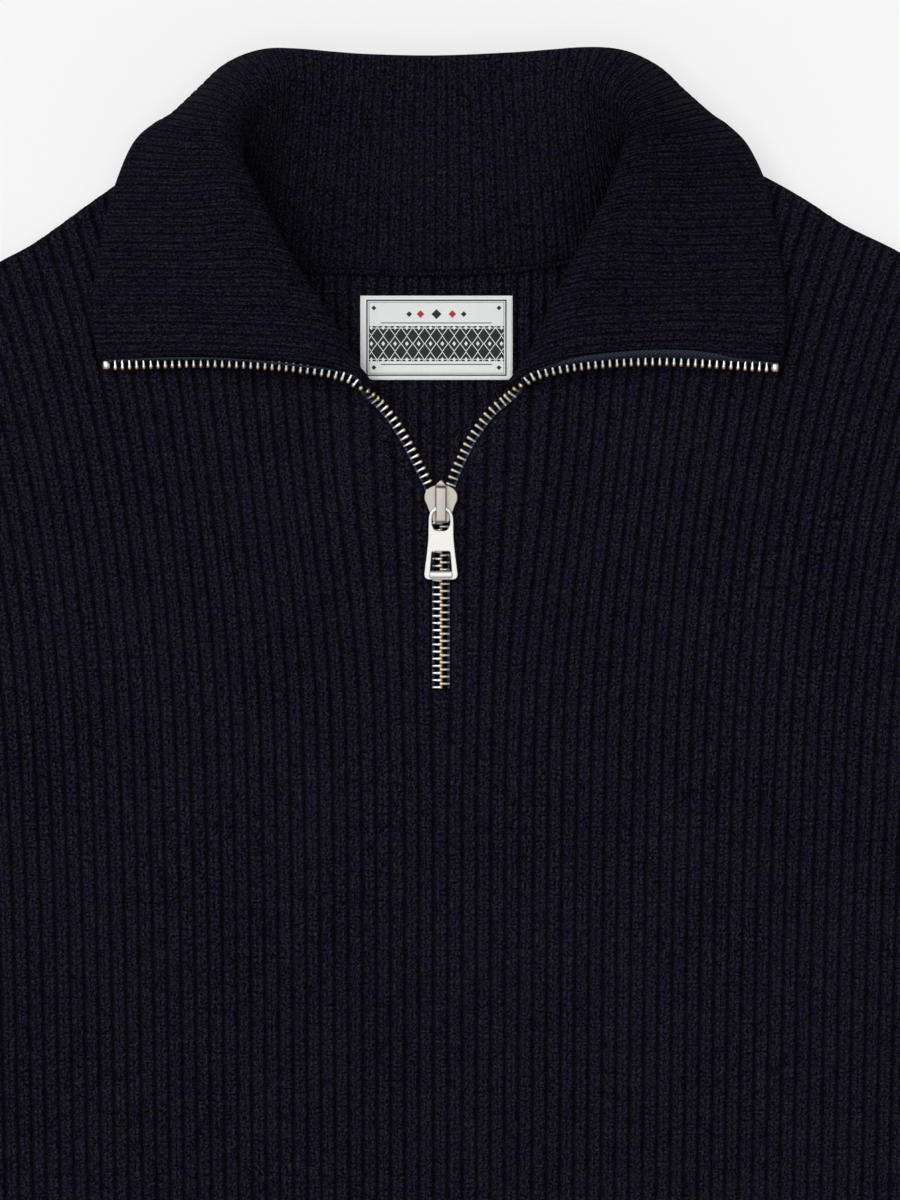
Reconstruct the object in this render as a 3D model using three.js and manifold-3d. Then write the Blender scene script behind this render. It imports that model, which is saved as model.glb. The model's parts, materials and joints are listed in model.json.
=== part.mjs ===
// Half-zip sweater in a heavy rib knit, laid flat on its back with its collar spread open.
//
// Millimetres. X runs across the garment and Y up it towards the collar. Z is up from the surface
// that it lies on. The pattern is drawn with Y = 0 at the middle of the back neck seam and X = 0 on
// the zip, and the finished garment is moved at the end so that its origin is the middle of its
// base. "Left" and "right" are the sides as they lie, at -X and +X.

import * as THREE from "three";
import { mergeVertices } from "three/addons/utils/BufferGeometryUtils.js";
import Module from "manifold-3d";

const wasm = await Module();
wasm.setup();

// ---- Cloth ----
const CLOTH = 2.7;                  // wall of the knit at the bottom of a rib
const RIB_HEIGHT = 1.1;             // how far a rib stands out of that wall
const LAYER = CLOTH + RIB_HEIGHT;   // one knit layer from its plain side to the top of its ribs
const SEAM = 0.3;                   // clear space between two pieces at a seam
const FRONT_BASE = LAYER + SEAM;    // plain underside of the front, which lies on the back
const FRONT_TOP = FRONT_BASE + LAYER;

// ---- Body ----
const WALES_A_SIDE = 45;            // ribs from the zip to the side seam
const SLIT_HALF = 4.25;             // half of the slot that the closed zip fills
const SLIT_FOOT = -184;             // lower end of the zip's slot
const UNDERARM = { x: 281, y: -236 };
const SHOULDER_TIP = { x: 252, y: -26 };
const HEM_LINE = -560;              // where the waist band is joined on
const HEM_HALF = 271;               // half width of the body at that line
const BAND_DEPTH = 64;              // depth of the waist band
const BAND_HALF = 263;              // half width of the band at its lower edge
const BAND_RIB = 5;

// ---- Sleeves ----
const SLEEVE_RIBS = 28;             // ribs over the upper side of a sleeve
const ARM_WIDTH = 185;              // laid width of the upper arm
const WRIST_WIDTH = 108;            // laid width where the cuff is joined on
const SLEEVE_DROP = 60;             // degrees that a sleeve lies below the X axis
const SLEEVE_RUN = 330;             // from the underarm to the cuff, along the sleeve
const CUFF_WIDTH = 92;
const CUFF_DEPTH = 70;
const CUFF_RIBS = 20;
const TUBE_HEIGHT = 2 * LAYER + SEAM;
const TUBE_GAP = 0.9;               // clear space between the two layers of a flat tube

// ---- Collar ----
const COLLAR_RIBS = 118;
const COLLAR_WALL = 4.4;            // two layers of a closer rib, felled together
const COLLAR_RIB_HEIGHT = 0.8;
const COLLAR_EDGE_ROUND = 2.6;      // how far the folded top edge takes to round over

// ---- Zip ----
const TAPE_WIDTH = 1.1;
const TAPE_THICKNESS = 1.0;
const CHAIN_WIDTH = 2.3;
const CHAIN_THICKNESS = 2.7;
const CHAIN_GAP = 0.3;              // between the tape and the chain on it
const CHAIN_MIDDLE = SEAM + TAPE_WIDTH + CHAIN_GAP + CHAIN_WIDTH / 2;   // from the knit's edge
const SLOT_STEP = 13;               // between the frames of the straight, closed zip
const TURN_STEPS = 4;
const TURN_RISE = 1.2;              // how far the zip lifts off the knit, halfway through its turn
const TURN_EASE = 0.8;              // how far it still stands off the collar where the turn ends
const ZIP_LEVEL = FRONT_BASE + 0.55 * CLOTH;
const SLIDER = { width: 14.6, length: 15, foot: -106.5, plate: 1.7, crownWidth: 4.4, crownRise: 3.8 };
const PULL = { length: 32, neck: 10.2, foot: 15, thickness: 1.8 };

const SIDES = [
  { name: "left", sign: -1 },
  { name: "right", sign: 1 },
];

// The edge of the neck opening on each side, from the slot's head at the slider up to the collar.
const OPENING_EDGE = {
  left: [
    { x: 4.25, y: -104 },
    { x: 6.6, y: -98 },
    { x: 9.7, y: -91 },
    { x: 12.5, y: -85.5 },
    { x: 16.8, y: -77 },
    { x: 22.6, y: -67.5 },
    { x: 28.4, y: -60 },
  ],
  right: [
    { x: 4.25, y: -104 },
    { x: 6, y: -97.5 },
    { x: 8.2, y: -90.5 },
    { x: 11.5, y: -83 },
    { x: 15, y: -76 },
    { x: 19.6, y: -69 },
    { x: 25, y: -62.4 },
    { x: 29.5, y: -58.8 },
  ],
};

// The rest of the front's upper edge: round the neck, then down the shoulder to its tip.
const NECK_AND_SHOULDER = {
  left: [
    { x: 34.5, y: -53 },
    { x: 46.5, y: -39.5 },
    { x: 61, y: -25.5 },
    { x: 74, y: -9 },
    { x: 84, y: 6 },
    { x: 92, y: 23 },
    { x: 97, y: 50 },
    { x: 110, y: 58.5 },
    { x: 130, y: 46.5 },
    { x: 151.5, y: 31.8 },
    { x: 178, y: 12.8 },
    { x: 194, y: 4 },
    { x: 222, y: -11 },
    { x: 252, y: -26 },
  ],
  right: [
    { x: 34.5, y: -53 },
    { x: 44, y: -42 },
    { x: 57, y: -27.5 },
    { x: 69, y: -12 },
    { x: 79, y: 4 },
    { x: 87, y: 22 },
    { x: 92, y: 50 },
    { x: 106, y: 60 },
    { x: 126, y: 49.5 },
    { x: 146, y: 39.4 },
    { x: 162, y: 30.2 },
    { x: 178, y: 19.8 },
    { x: 202, y: 8 },
    { x: 226, y: -7 },
    { x: 252, y: -26 },
  ],
};

// Sections of the collar along its ribs, from the left end of the zip round the back to the right.
// Each goes up from the neck seam, over the roll and down the fall to the folded top edge. At the
// back there is no roll, and the band leans away behind the neck.
const COLLAR_SECTIONS = [
  { rib: 0, seam: [-28.8, -51.9, 10], roll: [-44, -43, 16], fall: [-93, -37.7, 14.5], edge: [-151, -38.6, 10.8] },
  { rib: 5, seam: [-43.5, -40, 10.2], roll: [-50.5, -23, 24], fall: [-101, -18.5, 19], edge: [-153.5, -18.5, 10.8] },
  { rib: 10, seam: [-60, -23, 10.2], roll: [-65, -1, 32], fall: [-107.5, 1, 23], edge: [-151.8, 1, 10.8] },
  { rib: 15, seam: [-71, -10, 10.2], roll: [-76, 19, 37], fall: [-112.5, 20, 27], edge: [-148, 20, 11] },
  { rib: 20, seam: [-81, 3, 10.2], roll: [-85, 36.5, 41], fall: [-115, 37.5, 31], edge: [-143, 37.5, 13] },
  { rib: 25, seam: [-89, 16, 10], roll: [-91, 50.5, 44], fall: [-113, 53, 34], edge: [-135.3, 55, 15] },
  { rib: 28, seam: [-92, 22.5, 9.8], roll: [-91.8, 58, 45], fall: [-108.5, 61, 36], edge: [-127, 62.8, 15] },
  { rib: 30, seam: [-93, 27, 9.5], roll: [-91.5, 62.5, 45], fall: [-105, 66, 37], edge: [-118.4, 67.6, 15] },
  { rib: 34, seam: [-91.5, 33, 9], roll: [-88.5, 71.5, 44.5], fall: [-97, 76.5, 37.5], edge: [-106.7, 78.1, 15] },
  { rib: 38, seam: [-86, 29, 8], roll: [-82, 79, 42], fall: [-87, 84, 38], edge: [-94.3, 89.6, 20] },
  { rib: 42, seam: [-78, 18, 6], roll: [-72, 83.5, 37.5], fall: [-74.5, 90, 36], edge: [-79, 95.8, 26] },
  { rib: 46, seam: [-66.5, 3.6, 4.6], roll: [-59.5, 82, 33], fall: [-60, 90.5, 32.5], edge: [-60.5, 96.7, 28.5] },
  { rib: 52, seam: [-38, 1, 4.6], roll: [-34, 74, 28.5], fall: [-33, 86, 30], edge: [-32.5, 94.8, 29.5] },
  { rib: 59, seam: [-2, 0.2, 4.6], roll: [-2, 72, 27], fall: [-2, 84, 29], edge: [-2, 94.2, 29] },
  { rib: 66, seam: [36, 2.2, 4.6], roll: [32, 75, 28.5], fall: [31, 87, 30], edge: [31, 95.5, 29.5] },
  { rib: 72, seam: [64.5, 8.4, 4.6], roll: [58, 80.5, 33], fall: [60, 90.5, 32.5], edge: [61.5, 97.5, 28.5] },
  { rib: 76, seam: [76, 22, 6], roll: [71, 81, 37.5], fall: [75.5, 89, 36], edge: [80, 95.6, 25.5] },
  { rib: 80, seam: [83, 33, 8], roll: [79.5, 76, 42], fall: [86.5, 83, 38], edge: [95.3, 88.5, 20] },
  { rib: 84, seam: [87.5, 34.5, 9], roll: [84.5, 69, 44.5], fall: [95.5, 74.5, 37.5], edge: [106.6, 78.1, 15] },
  { rib: 88, seam: [88.5, 26, 9.5], roll: [85, 60, 45], fall: [103, 65, 37], edge: [118.8, 67.7, 15] },
  { rib: 90, seam: [87, 21.5, 9.7], roll: [84, 55.8, 45], fall: [105.5, 60, 36], edge: [126.5, 62.6, 15.5] },
  { rib: 93, seam: [84, 14, 10], roll: [81.5, 48.5, 44], fall: [109, 52, 35], edge: [135, 54, 16] },
  { rib: 98, seam: [76, 1, 10.2], roll: [76.5, 34, 41], fall: [110, 37, 31], edge: [142.8, 38, 13] },
  { rib: 103, seam: [67, -12, 10.2], roll: [68, 17, 37], fall: [107, 19, 27], edge: [146.8, 20, 11] },
  { rib: 108, seam: [56, -25, 10.2], roll: [58, -2, 32], fall: [103, 0, 23], edge: [150.2, 1, 10.8] },
  { rib: 113, seam: [42.5, -40, 10.2], roll: [49, -23, 24], fall: [98, -17.5, 19], edge: [151.8, -18.5, 10.8] },
  { rib: 118, seam: [28.4, -51.1, 10], roll: [44, -42, 16], fall: [89, -36.8, 14.5], edge: [150.5, -39.8, 10.8] },
];

// ---- Helpers ----
const lerp = THREE.MathUtils.lerp;
const clamp = THREE.MathUtils.clamp;
const smoothstep = THREE.MathUtils.smoothstep;
const point = (x, y, z) => new THREE.Vector3(x, y, z);

function alongTable(table, column, value, result) {
  const last = table.length - 1;
  const at = table.findIndex((row) => row[column] >= value);
  const upper = at < 1 ? 1 : at;
  const to = table[at < 0 ? last : upper];
  const from = table[at < 0 ? last - 1 : upper - 1];
  const share = clamp((value - from[column]) / (to[column] - from[column]), 0, 1);
  return lerp(from[result], to[result], share);
}

// A closed wall: outer points that can carry ribs, over a plain inside with fewer points. Each
// column has one plain panel inside and steps[column] strips outside. A cell can be left out, and
// a wall can be closed round into a tube.
function wallGeometry({ steps, rows, outer, inner, isCut = () => false, closed = false, flip = false }) {
  const columns = steps.length;
  const starts = steps.map((_, column) => steps.slice(0, column).reduce((sum, n) => sum + n, 0));
  const fineCount = starts[columns - 1] + steps[columns - 1] + (closed ? 0 : 1);
  const coarseCount = columns + (closed ? 0 : 1);
  const positions = [];
  const faces = [];
  const outerAt = (fine, row) => (row * fineCount) + (fine % fineCount);
  const innerStart = fineCount * (rows + 1);
  const innerAt = (column, row) => innerStart + (row * coarseCount) + (column % coarseCount);
  const put = (p) => positions.push(p.x, p.y, p.z);
  for (let row = 0; row <= rows; row += 1) {
    for (let column = 0; column < coarseCount; column += 1) {
      const strips = column < columns ? steps[column] : 1;
      for (let strip = 0; strip < strips; strip += 1) {
        put(outer(column + strip / strips, row));
      }
    }
  }
  for (let row = 0; row <= rows; row += 1) {
    for (let column = 0; column < coarseCount; column += 1) {
      put(inner(column, row));
    }
  }
  const isSolid = (column, row) => {
    const inRange = row >= 0 && row < rows && (closed || (column >= 0 && column < columns));
    return inRange && !isCut((column + columns) % columns, row);
  };
  const quad = (a, b, c, d) => faces.push(a, b, c, a, c, d);
  const rim = (column, row, flip) => {
    const tri = (a, b, c) => (flip ? faces.push(a, c, b) : faces.push(a, b, c));
    const half = Math.ceil(steps[column] / 2);
    for (let strip = 0; strip < steps[column]; strip += 1) {
      const here = starts[column] + strip;
      tri(outerAt(here + 1, row), outerAt(here, row), innerAt(column + (strip < half ? 0 : 1), row));
    }
    tri(outerAt(starts[column] + half, row), innerAt(column, row), innerAt(column + 1, row));
  };
  for (let row = 0; row < rows; row += 1) {
    for (let column = 0; column < columns; column += 1) {
      if (isSolid(column, row)) {
        const first = starts[column];
        const end = first + steps[column];
        for (let fine = first; fine < end; fine += 1) {
          quad(outerAt(fine, row), outerAt(fine + 1, row), outerAt(fine + 1, row + 1), outerAt(fine, row + 1));
        }
        quad(innerAt(column, row + 1), innerAt(column + 1, row + 1), innerAt(column + 1, row), innerAt(column, row));
        if (!isSolid(column, row - 1)) {
          rim(column, row, false);
        }
        if (!isSolid(column, row + 1)) {
          rim(column, row + 1, true);
        }
        if (!isSolid(column - 1, row)) {
          quad(outerAt(first, row), outerAt(first, row + 1), innerAt(column, row + 1), innerAt(column, row));
        }
        if (!isSolid(column + 1, row)) {
          quad(outerAt(end, row + 1), outerAt(end, row), innerAt(column + 1, row), innerAt(column + 1, row + 1));
        }
      }
    }
  }
  return cleanGeometry(positions, flip ? faces.reverse() : faces);
}

// Keeps only the points that a face uses.
function cleanGeometry(positions, faces) {
  const places = new Map();
  const kept = [];
  const index = faces.map((old) => {
    if (!places.has(old)) {
      places.set(old, kept.length / 3);
      kept.push(positions[3 * old], positions[3 * old + 1], positions[3 * old + 2]);
    }
    return places.get(old);
  });
  const geometry = new THREE.BufferGeometry();
  geometry.setAttribute("position", new THREE.Float32BufferAttribute(kept, 3));
  geometry.setIndex(index);
  geometry.computeVertexNormals();
  return geometry;
}

// A rib's height over its pitch: points fall in turn on its crest and in the furrow beside it.
const ribAt = (strip, height) => (Math.round(strip) % 2 === 1 ? height : 0);

// ---- Front and back ----
function outline(side, x) {
  const edge = [...OPENING_EDGE[side], ...NECK_AND_SHOULDER[side]];
  if (x <= SHOULDER_TIP.x) {
    return alongTable(edge, "x", x, "y");
  }
  return alongTable([SHOULDER_TIP, UNDERARM], "x", x, "y");
}

// The ribs fan out towards the shoulders and lean away from the zip beside the opening.
function waleX(rest, y) {
  const fan = 0.3 * clamp((y + 330) / 350, 0, 1.1) ** 3;
  const lean = 9 * (rest / 30) * Math.exp(1 - rest / 30) * smoothstep(y, -200, -60);
  const taper = lerp(HEM_HALF / UNDERARM.x, 1, clamp((y - HEM_LINE) / (UNDERARM.y - HEM_LINE), 0, 1));
  const fromSlit = clamp((rest - SLIT_HALF) / 30, 0, 1);
  const x = rest * (1 + fan * fromSlit) * lerp(1, taper, fromSlit) + lean * fromSlit;
  return Math.min(x, UNDERARM.x * taper);
}

// The height up the garment at which a rib meets the panel's upper edge.
function waleTop(side, rest) {
  let low = SLIT_FOOT - 60;
  let high = 70;
  for (let pass = 0; pass < 24; pass += 1) {
    const middle = (low + high) / 2;
    const isInside = middle < outline(side, waleX(rest, middle));
    low = isInside ? middle : low;
    high = isInside ? high : middle;
  }
  return low;
}

const LOWER_ROWS = 4;
const UPPER_ROWS = 6;
const chestLine = (rest) => SLIT_FOOT - 78 * (rest / UNDERARM.x) ** 2;

function bodyPoint(side, rest, row) {
  const sign = side === "left" ? -1 : 1;
  const chest = chestLine(rest);
  const y = row <= LOWER_ROWS
    ? lerp(HEM_LINE, chest, row / LOWER_ROWS)
    : lerp(chest, waleTop(side, rest), (row - LOWER_ROWS) / UPPER_ROWS);
  return { x: sign * waleX(rest, y), y };
}

// How many ribs each plain inner panel spans, from the zip out to the side seam.
const RIBS_A_COLUMN = [2, 2, 2, 2, 2, 2, 2, 2, 2, 3, 4, 5, 5, 4, 3, 3];

function makeFront() {
  const half = RIBS_A_COLUMN.map((ribs) => 2 * ribs);
  const steps = [...half].reverse().concat([2], half);
  const centre = half.length;
  const restAt = (column) => {
    const fromZip = column <= centre ? centre - column : column - centre - 1;
    const whole = Math.floor(fromZip + 1e-9);
    const ribs = RIBS_A_COLUMN.slice(0, whole).reduce((sum, n) => sum + n, 0);
    const part = (fromZip - whole) * (RIBS_A_COLUMN[whole] ?? 0);
    return { strip: 2 * (ribs + part), side: column <= centre ? "left" : "right" };
  };
  const place = (column, row, level) => {
    if (column > centre && column < centre + 1) {
      const left = place(centre, row, level);
      const right = place(centre + 1, row, level);
      return left.lerp(right, column - centre).setZ(FRONT_TOP);
    }
    const { strip, side } = restAt(column);
    const reach = (UNDERARM.x - SLIT_HALF) / (2 * WALES_A_SIDE);
    const { x, y } = bodyPoint(side, SLIT_HALF + strip * reach, row);
    return point(x, y, level(strip));
  };
  return wallGeometry({
    steps,
    rows: LOWER_ROWS + UPPER_ROWS,
    outer: (column, row) => place(column, row, (strip) => FRONT_BASE + CLOTH + ribAt(strip, RIB_HEIGHT)),
    inner: (column, row) => place(column, row, () => FRONT_BASE),
    isCut: (column, row) => column === centre && row >= LOWER_ROWS,
  });
}

// The back is cut like the front, but whole, with its neck only as deep as the seam behind it.
const BACK_EDGE = {
  left: [
    { x: 0, y: -0.2 },
    { x: 38, y: 0.4 },
    { x: 60, y: 1.2 },
    { x: 70, y: 5.8 },
    { x: 80, y: 16.5 },
    { x: 90, y: 31 },
    { x: 98, y: 41 },
  ],
  right: [
    { x: 0, y: -0.2 },
    { x: 38, y: 1.5 },
    { x: 60, y: 6 },
    { x: 70, y: 13 },
    { x: 80, y: 25.5 },
    { x: 90, y: 36 },
    { x: 98, y: 43 },
  ],
};
const BACK_REACH = [0, 20, 40, 60, 70, 80, 90, 98, 122, 150, 180, 215, 251, 264, 280];
const BACK_INSET = 1;               // the back's edges lie this far inside the front's

function backTop(side, across) {
  return across < 98 ? alongTable(BACK_EDGE[side], "x", across, "y") : outline(side, across);
}

function makeBack() {
  const place = (column, row, z) => {
    const fromMiddle = column - (BACK_REACH.length - 1);
    const rest = BACK_REACH[Math.abs(fromMiddle)];
    const chest = chestLine(rest);
    const taper = lerp(HEM_HALF / UNDERARM.x, 1, clamp(row / LOWER_ROWS, 0, 1));
    const top = backTop(fromMiddle < 0 ? "left" : "right", rest) - BACK_INSET;
    const y = row <= LOWER_ROWS
      ? lerp(HEM_LINE, chest, row / LOWER_ROWS)
      : lerp(chest, top, (row - LOWER_ROWS) / UPPER_ROWS);
    return point(Math.sign(fromMiddle) * rest * taper, y, z);
  };
  return wallGeometry({
    steps: new Array(2 * BACK_REACH.length - 2).fill(1),
    rows: LOWER_ROWS + UPPER_ROWS,
    outer: (column, row) => place(column, row, LAYER),
    inner: (column, row) => place(column, row, 0),
  });
}

// ---- Waist band ----
function makeHem(level, ribs) {
  const columns = 15;
  const ribsAcross = Math.round((2 * HEM_HALF) / BAND_RIB / columns);
  const strips = ribs ? 2 * ribsAcross : 1;
  const place = (column, row, z) => {
    const half = lerp(BAND_HALF, HEM_HALF - 2, row);
    const y = lerp(HEM_LINE - BAND_DEPTH, HEM_LINE - SEAM, row);
    return point(lerp(-half, half, column / columns), y, z);
  };
  const rise = (column) => (ribs ? ribAt((column % 1) * strips, RIB_HEIGHT) : RIB_HEIGHT);
  return wallGeometry({
    steps: new Array(columns).fill(strips),
    rows: 1,
    outer: (column, row) => place(column, row, level + CLOTH + rise(column)),
    inner: (column, row) => place(column, row, level),
  });
}

// ---- Sleeves and cuffs ----
const drop = THREE.MathUtils.degToRad(SLEEVE_DROP);
const ALONG = { x: Math.cos(drop), y: -Math.sin(drop) };
const ACROSS = { x: Math.sin(drop), y: Math.cos(drop) };
const step = (from, along, across) => ({
  x: from.x + along * ALONG.x + across * ACROSS.x,
  y: from.y + along * ALONG.y + across * ACROSS.y,
});
const WRIST_INNER = step(UNDERARM, SLEEVE_RUN, 20);
const WRIST_OUTER = step(WRIST_INNER, 0, WRIST_WIDTH);
const ARMHOLE_GAP = { x: 0.4, y: 0.1 };
const upperEdge = new THREE.CatmullRomCurve3([
  point(SHOULDER_TIP.x + ARMHOLE_GAP.x, SHOULDER_TIP.y + ARMHOLE_GAP.y, 0),
  point(348, -78, 0),
  point(step(UNDERARM, 15, ARM_WIDTH).x, step(UNDERARM, 15, ARM_WIDTH).y, 0),
  point(WRIST_OUTER.x, WRIST_OUTER.y, 0),
]);
const innerEdge = new THREE.LineCurve3(
  point(UNDERARM.x + ARMHOLE_GAP.x, UNDERARM.y + ARMHOLE_GAP.y, 0),
  point(WRIST_INNER.x, WRIST_INNER.y, 0),
);

// A flat tube: ribbed above, plain below where it lies on the surface, with a thin hollow.
function flatTube({ sign, ribs, columns, rows, crossing }) {
  const strips = (2 * ribs) / columns;
  const under = [0.97, 0.5, 0.03];
  const steps = new Array(columns).fill(strips).concat([1, 1, 1, 1]);
  const middle = TUBE_HEIGHT / 2;
  const edge = 5;                   // how far in from its folds a tube reaches its full height
  const at = (share, row, inset, z) => {
    const [from, to] = crossing(row);
    const width = from.distanceTo(to);
    const across = clamp(share, inset / width, 1 - inset / width);
    const place = from.clone().lerp(to, across);
    return point(sign * place.x, place.y, z(Math.min(across, 1 - across) * width));
  };
  const crown = (height) => (depth) => {
    const near = 1 - clamp(depth / edge, 0, 1);
    return middle + (height - middle) * Math.sqrt(1 - near * near);
  };
  return wallGeometry({
    steps,
    rows,
    closed: true,
    flip: sign > 0,
    outer: (column, row) => {
      if (column <= columns) {
        const rise = ribAt((column % 1) * strips, RIB_HEIGHT);
        return at(column / columns, row, 0, crown(TUBE_HEIGHT - RIB_HEIGHT + rise));
      }
      return at(under[Math.round(column) - columns - 1], row, 0, () => 0);
    },
    inner: (column, row) => {
      const isUpper = column > 0 && column < columns;
      const share = column <= columns ? column / columns : under[column - columns - 1];
      const isFold = column === 0 || column === columns;
      const level = isFold ? middle : middle + (isUpper ? 0.5 : -0.5) * TUBE_GAP;
      return at(share, row, isFold ? LAYER : LAYER + 2, () => level);
    },
  });
}

const SLEEVE_ROWS = 8;

const makeSleeve = (sign) => flatTube({
  sign,
  ribs: SLEEVE_RIBS,
  columns: 7,
  rows: SLEEVE_ROWS,
  crossing: (row) => [innerEdge.getPoint(row / SLEEVE_ROWS), upperEdge.getPointAt(row / SLEEVE_ROWS)],
});

const makeCuff = (sign) => flatTube({
  sign,
  ribs: CUFF_RIBS,
  columns: 5,
  rows: 2,
  crossing: (row) => {
    const spare = (WRIST_WIDTH - CUFF_WIDTH) / 2;
    const inset = [2, 0.8 * spare, spare][row];
    const along = [SEAM, 0.2 * CUFF_DEPTH, CUFF_DEPTH][row];
    const inner = step(WRIST_INNER, along, inset);
    const outer = step(WRIST_INNER, along, WRIST_WIDTH - inset);
    return [point(inner.x, inner.y, 0), point(outer.x, outer.y, 0)];
  },
});

// ---- Collar ----
const COLLAR_PARTS = ["seam", "roll", "fall", "edge"];
const COLLAR_SPAN = [0, 0.1, 0.22, 0.36, 0.52, 0.68, 0.84, 0.975, 1];
const COLLAR_ROWS = COLLAR_SPAN.length - 1;
const RIBS_A_COLLAR_COLUMN = 2;

const collarRails = COLLAR_PARTS.map((part) => (rib) => {
  const at = COLLAR_SECTIONS.findIndex((section) => section.rib >= rib);
  const upper = clamp(at, 1, COLLAR_SECTIONS.length - 1);
  const span = COLLAR_SECTIONS[upper].rib - COLLAR_SECTIONS[upper - 1].rib;
  const share = (rib - COLLAR_SECTIONS[upper - 1].rib) / span;
  const rail = [-2, -1, 0, 1].map((offset) => {
    const index = clamp(upper + offset, 0, COLLAR_SECTIONS.length - 1);
    return COLLAR_SECTIONS[index][part];
  });
  return point(...[0, 1, 2].map((axis) => hermite(rail.map((row) => row[axis]), share)));
});

function hermite([before, from, to, after], share) {
  const out = (to - before) / 2;
  const back = (after - from) / 2;
  const square = share * share;
  const cube = square * share;
  return (2 * cube - 3 * square + 1) * from + (cube - 2 * square + share) * out
    + (3 * square - 2 * cube) * to + (cube - square) * back;
}

// A point of the collar's middle surface: along its length by rib, and up it by share.
function collarMiddle(rib, share) {
  const curve = new THREE.CatmullRomCurve3(collarRails.map((rail) => rail(rib)), false, "centripetal");
  return curve.getPointAt(clamp(share, 0, 1));
}

function collarFrame(rib, share) {
  const near = clamp(rib, 0.25, COLLAR_RIBS - 0.25);
  const alongRibs = collarMiddle(rib, Math.min(share + 0.02, 1)).sub(collarMiddle(rib, Math.max(share - 0.02, 0)));
  const alongEdge = collarMiddle(near + 0.25, share).sub(collarMiddle(near - 0.25, share));
  const normal = alongEdge.clone().cross(alongRibs).normalize();
  return { place: collarMiddle(rib, share), alongEdge: alongEdge.normalize(), normal };
}

function restsOn(x, y) {
  const side = x < 0 ? "left" : "right";
  const across = Math.abs(x);
  return across > SLIT_HALF && y < outline(side, across) + 2 ? FRONT_TOP + SEAM : SEAM;
}

function collarPoint(rib, row, offset) {
  const share = COLLAR_SPAN[row];
  const { place, normal } = collarFrame(rib, share);
  const round = row === COLLAR_ROWS ? 0.35 : 1;
  const moved = place.addScaledVector(normal, offset * round);
  return moved.setZ(Math.max(moved.z, restsOn(moved.x, moved.y)));
}

function makeCollar() {
  return wallGeometry({
    steps: new Array(COLLAR_RIBS / RIBS_A_COLLAR_COLUMN).fill(2 * RIBS_A_COLLAR_COLUMN),
    rows: COLLAR_ROWS,
    outer: (column, row) => {
      const rib = column * RIBS_A_COLLAR_COLUMN;
      const rise = ribAt(2 * (rib % 1 === 0 ? 0 : 0.5), COLLAR_RIB_HEIGHT);
      return collarPoint(rib, row, COLLAR_WALL / 2 + rise);
    },
    inner: (column, row) => collarPoint(column * RIBS_A_COLLAR_COLUMN, row, -COLLAR_WALL / 2),
  });
}

// ---- Zip ----
// Frames along the edge that the zip is sewn to: up the slot, along the opening, and through half a
// turn on to the end of the collar. "out" points away from the knit.
function zipFrames({ name, sign }) {
  const onFront = [];
  for (let y = SLIT_FOOT + 0.6; y < -106; y += SLOT_STEP) {
    onFront.push({ place: point(sign * SLIT_HALF, y, ZIP_LEVEL), out: point(-sign, 0, 0) });
  }
  const edge = OPENING_EDGE[name].map((row) => point(sign * row.x, row.y, ZIP_LEVEL));
  const opening = new THREE.CatmullRomCurve3(edge);
  const openingSteps = 10;
  for (let count = 0; count <= openingSteps; count += 1) {
    const share = count / openingSteps;
    const heading = opening.getTangentAt(share);
    const out = point(-sign * heading.y, sign * heading.x, 0);
    onFront.push({ place: opening.getPointAt(share).setZ(ZIP_LEVEL + 1.5 * share ** 2), out });
  }
  const end = name === "left" ? 0 : COLLAR_RIBS;
  const collarSteps = 11;
  const onCollar = new Array(collarSteps + 1).fill(0).map((_, count) => {
    const share = lerp(0.12, 0.985, count / collarSteps);
    const { place, alongEdge } = collarFrame(end, share);
    const out = alongEdge.multiplyScalar(sign);
    return { place: place.addScaledVector(out, TURN_EASE * (1 - smoothstep(share, 0.12, 0.5))), out };
  });
  return [...onFront, ...turnBetween(onFront, onCollar), ...onCollar];
}

// The frames of the turn, through which the middle of the chain runs straight on.
function turnBetween(onFront, onCollar) {
  const from = onFront[onFront.length - 1];
  const to = onCollar[0];
  const [start, end] = [from, to].map(({ place, out }) => place.clone().addScaledVector(out, CHAIN_MIDDLE));
  return new Array(TURN_STEPS - 1).fill(0).map((_, index) => {
    const share = (index + 1) / TURN_STEPS;
    const arch = Math.sin(Math.PI * share);
    const out = from.out.clone().lerp(to.out, share).add(point(0, 0, 1.1 * arch)).normalize();
    const middle = start.clone().lerp(end, share).add(point(0, 0, TURN_RISE * arch));
    return { place: middle.addScaledVector(out, -CHAIN_MIDDLE), out };
  });
}

function stripGeometry(frames, sign, [near, far], [low, high]) {
  const positions = [];
  frames.forEach(({ place, out }, index) => {
    const before = frames[Math.max(index - 1, 0)].place;
    const after = frames[Math.min(index + 1, frames.length - 1)].place;
    const heading = after.clone().sub(before).normalize();
    const level = out.clone().addScaledVector(heading, -out.dot(heading)).normalize();
    const face = heading.clone().cross(level).multiplyScalar(sign);
    [[near, low], [far, low], [far, high], [near, high]].forEach(([reach, lift]) => {
      const corner = place.clone().addScaledVector(level, reach).addScaledVector(face, lift);
      positions.push(corner.x, corner.y, corner.z);
    });
  });
  const faces = [];
  const quad = (a, b, c, d) => (sign > 0 ? faces.push(a, b, c, a, c, d) : faces.push(a, c, b, a, d, c));
  for (let index = 0; index < frames.length - 1; index += 1) {
    for (let corner = 0; corner < 4; corner += 1) {
      const here = 4 * index + corner;
      const beside = 4 * index + ((corner + 1) % 4);
      quad(here, beside, beside + 4, here + 4);
    }
  }
  const last = 4 * (frames.length - 1);
  quad(3, 2, 1, 0);
  quad(last, last + 1, last + 2, last + 3);
  return cleanGeometry(positions, faces);
}

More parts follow.
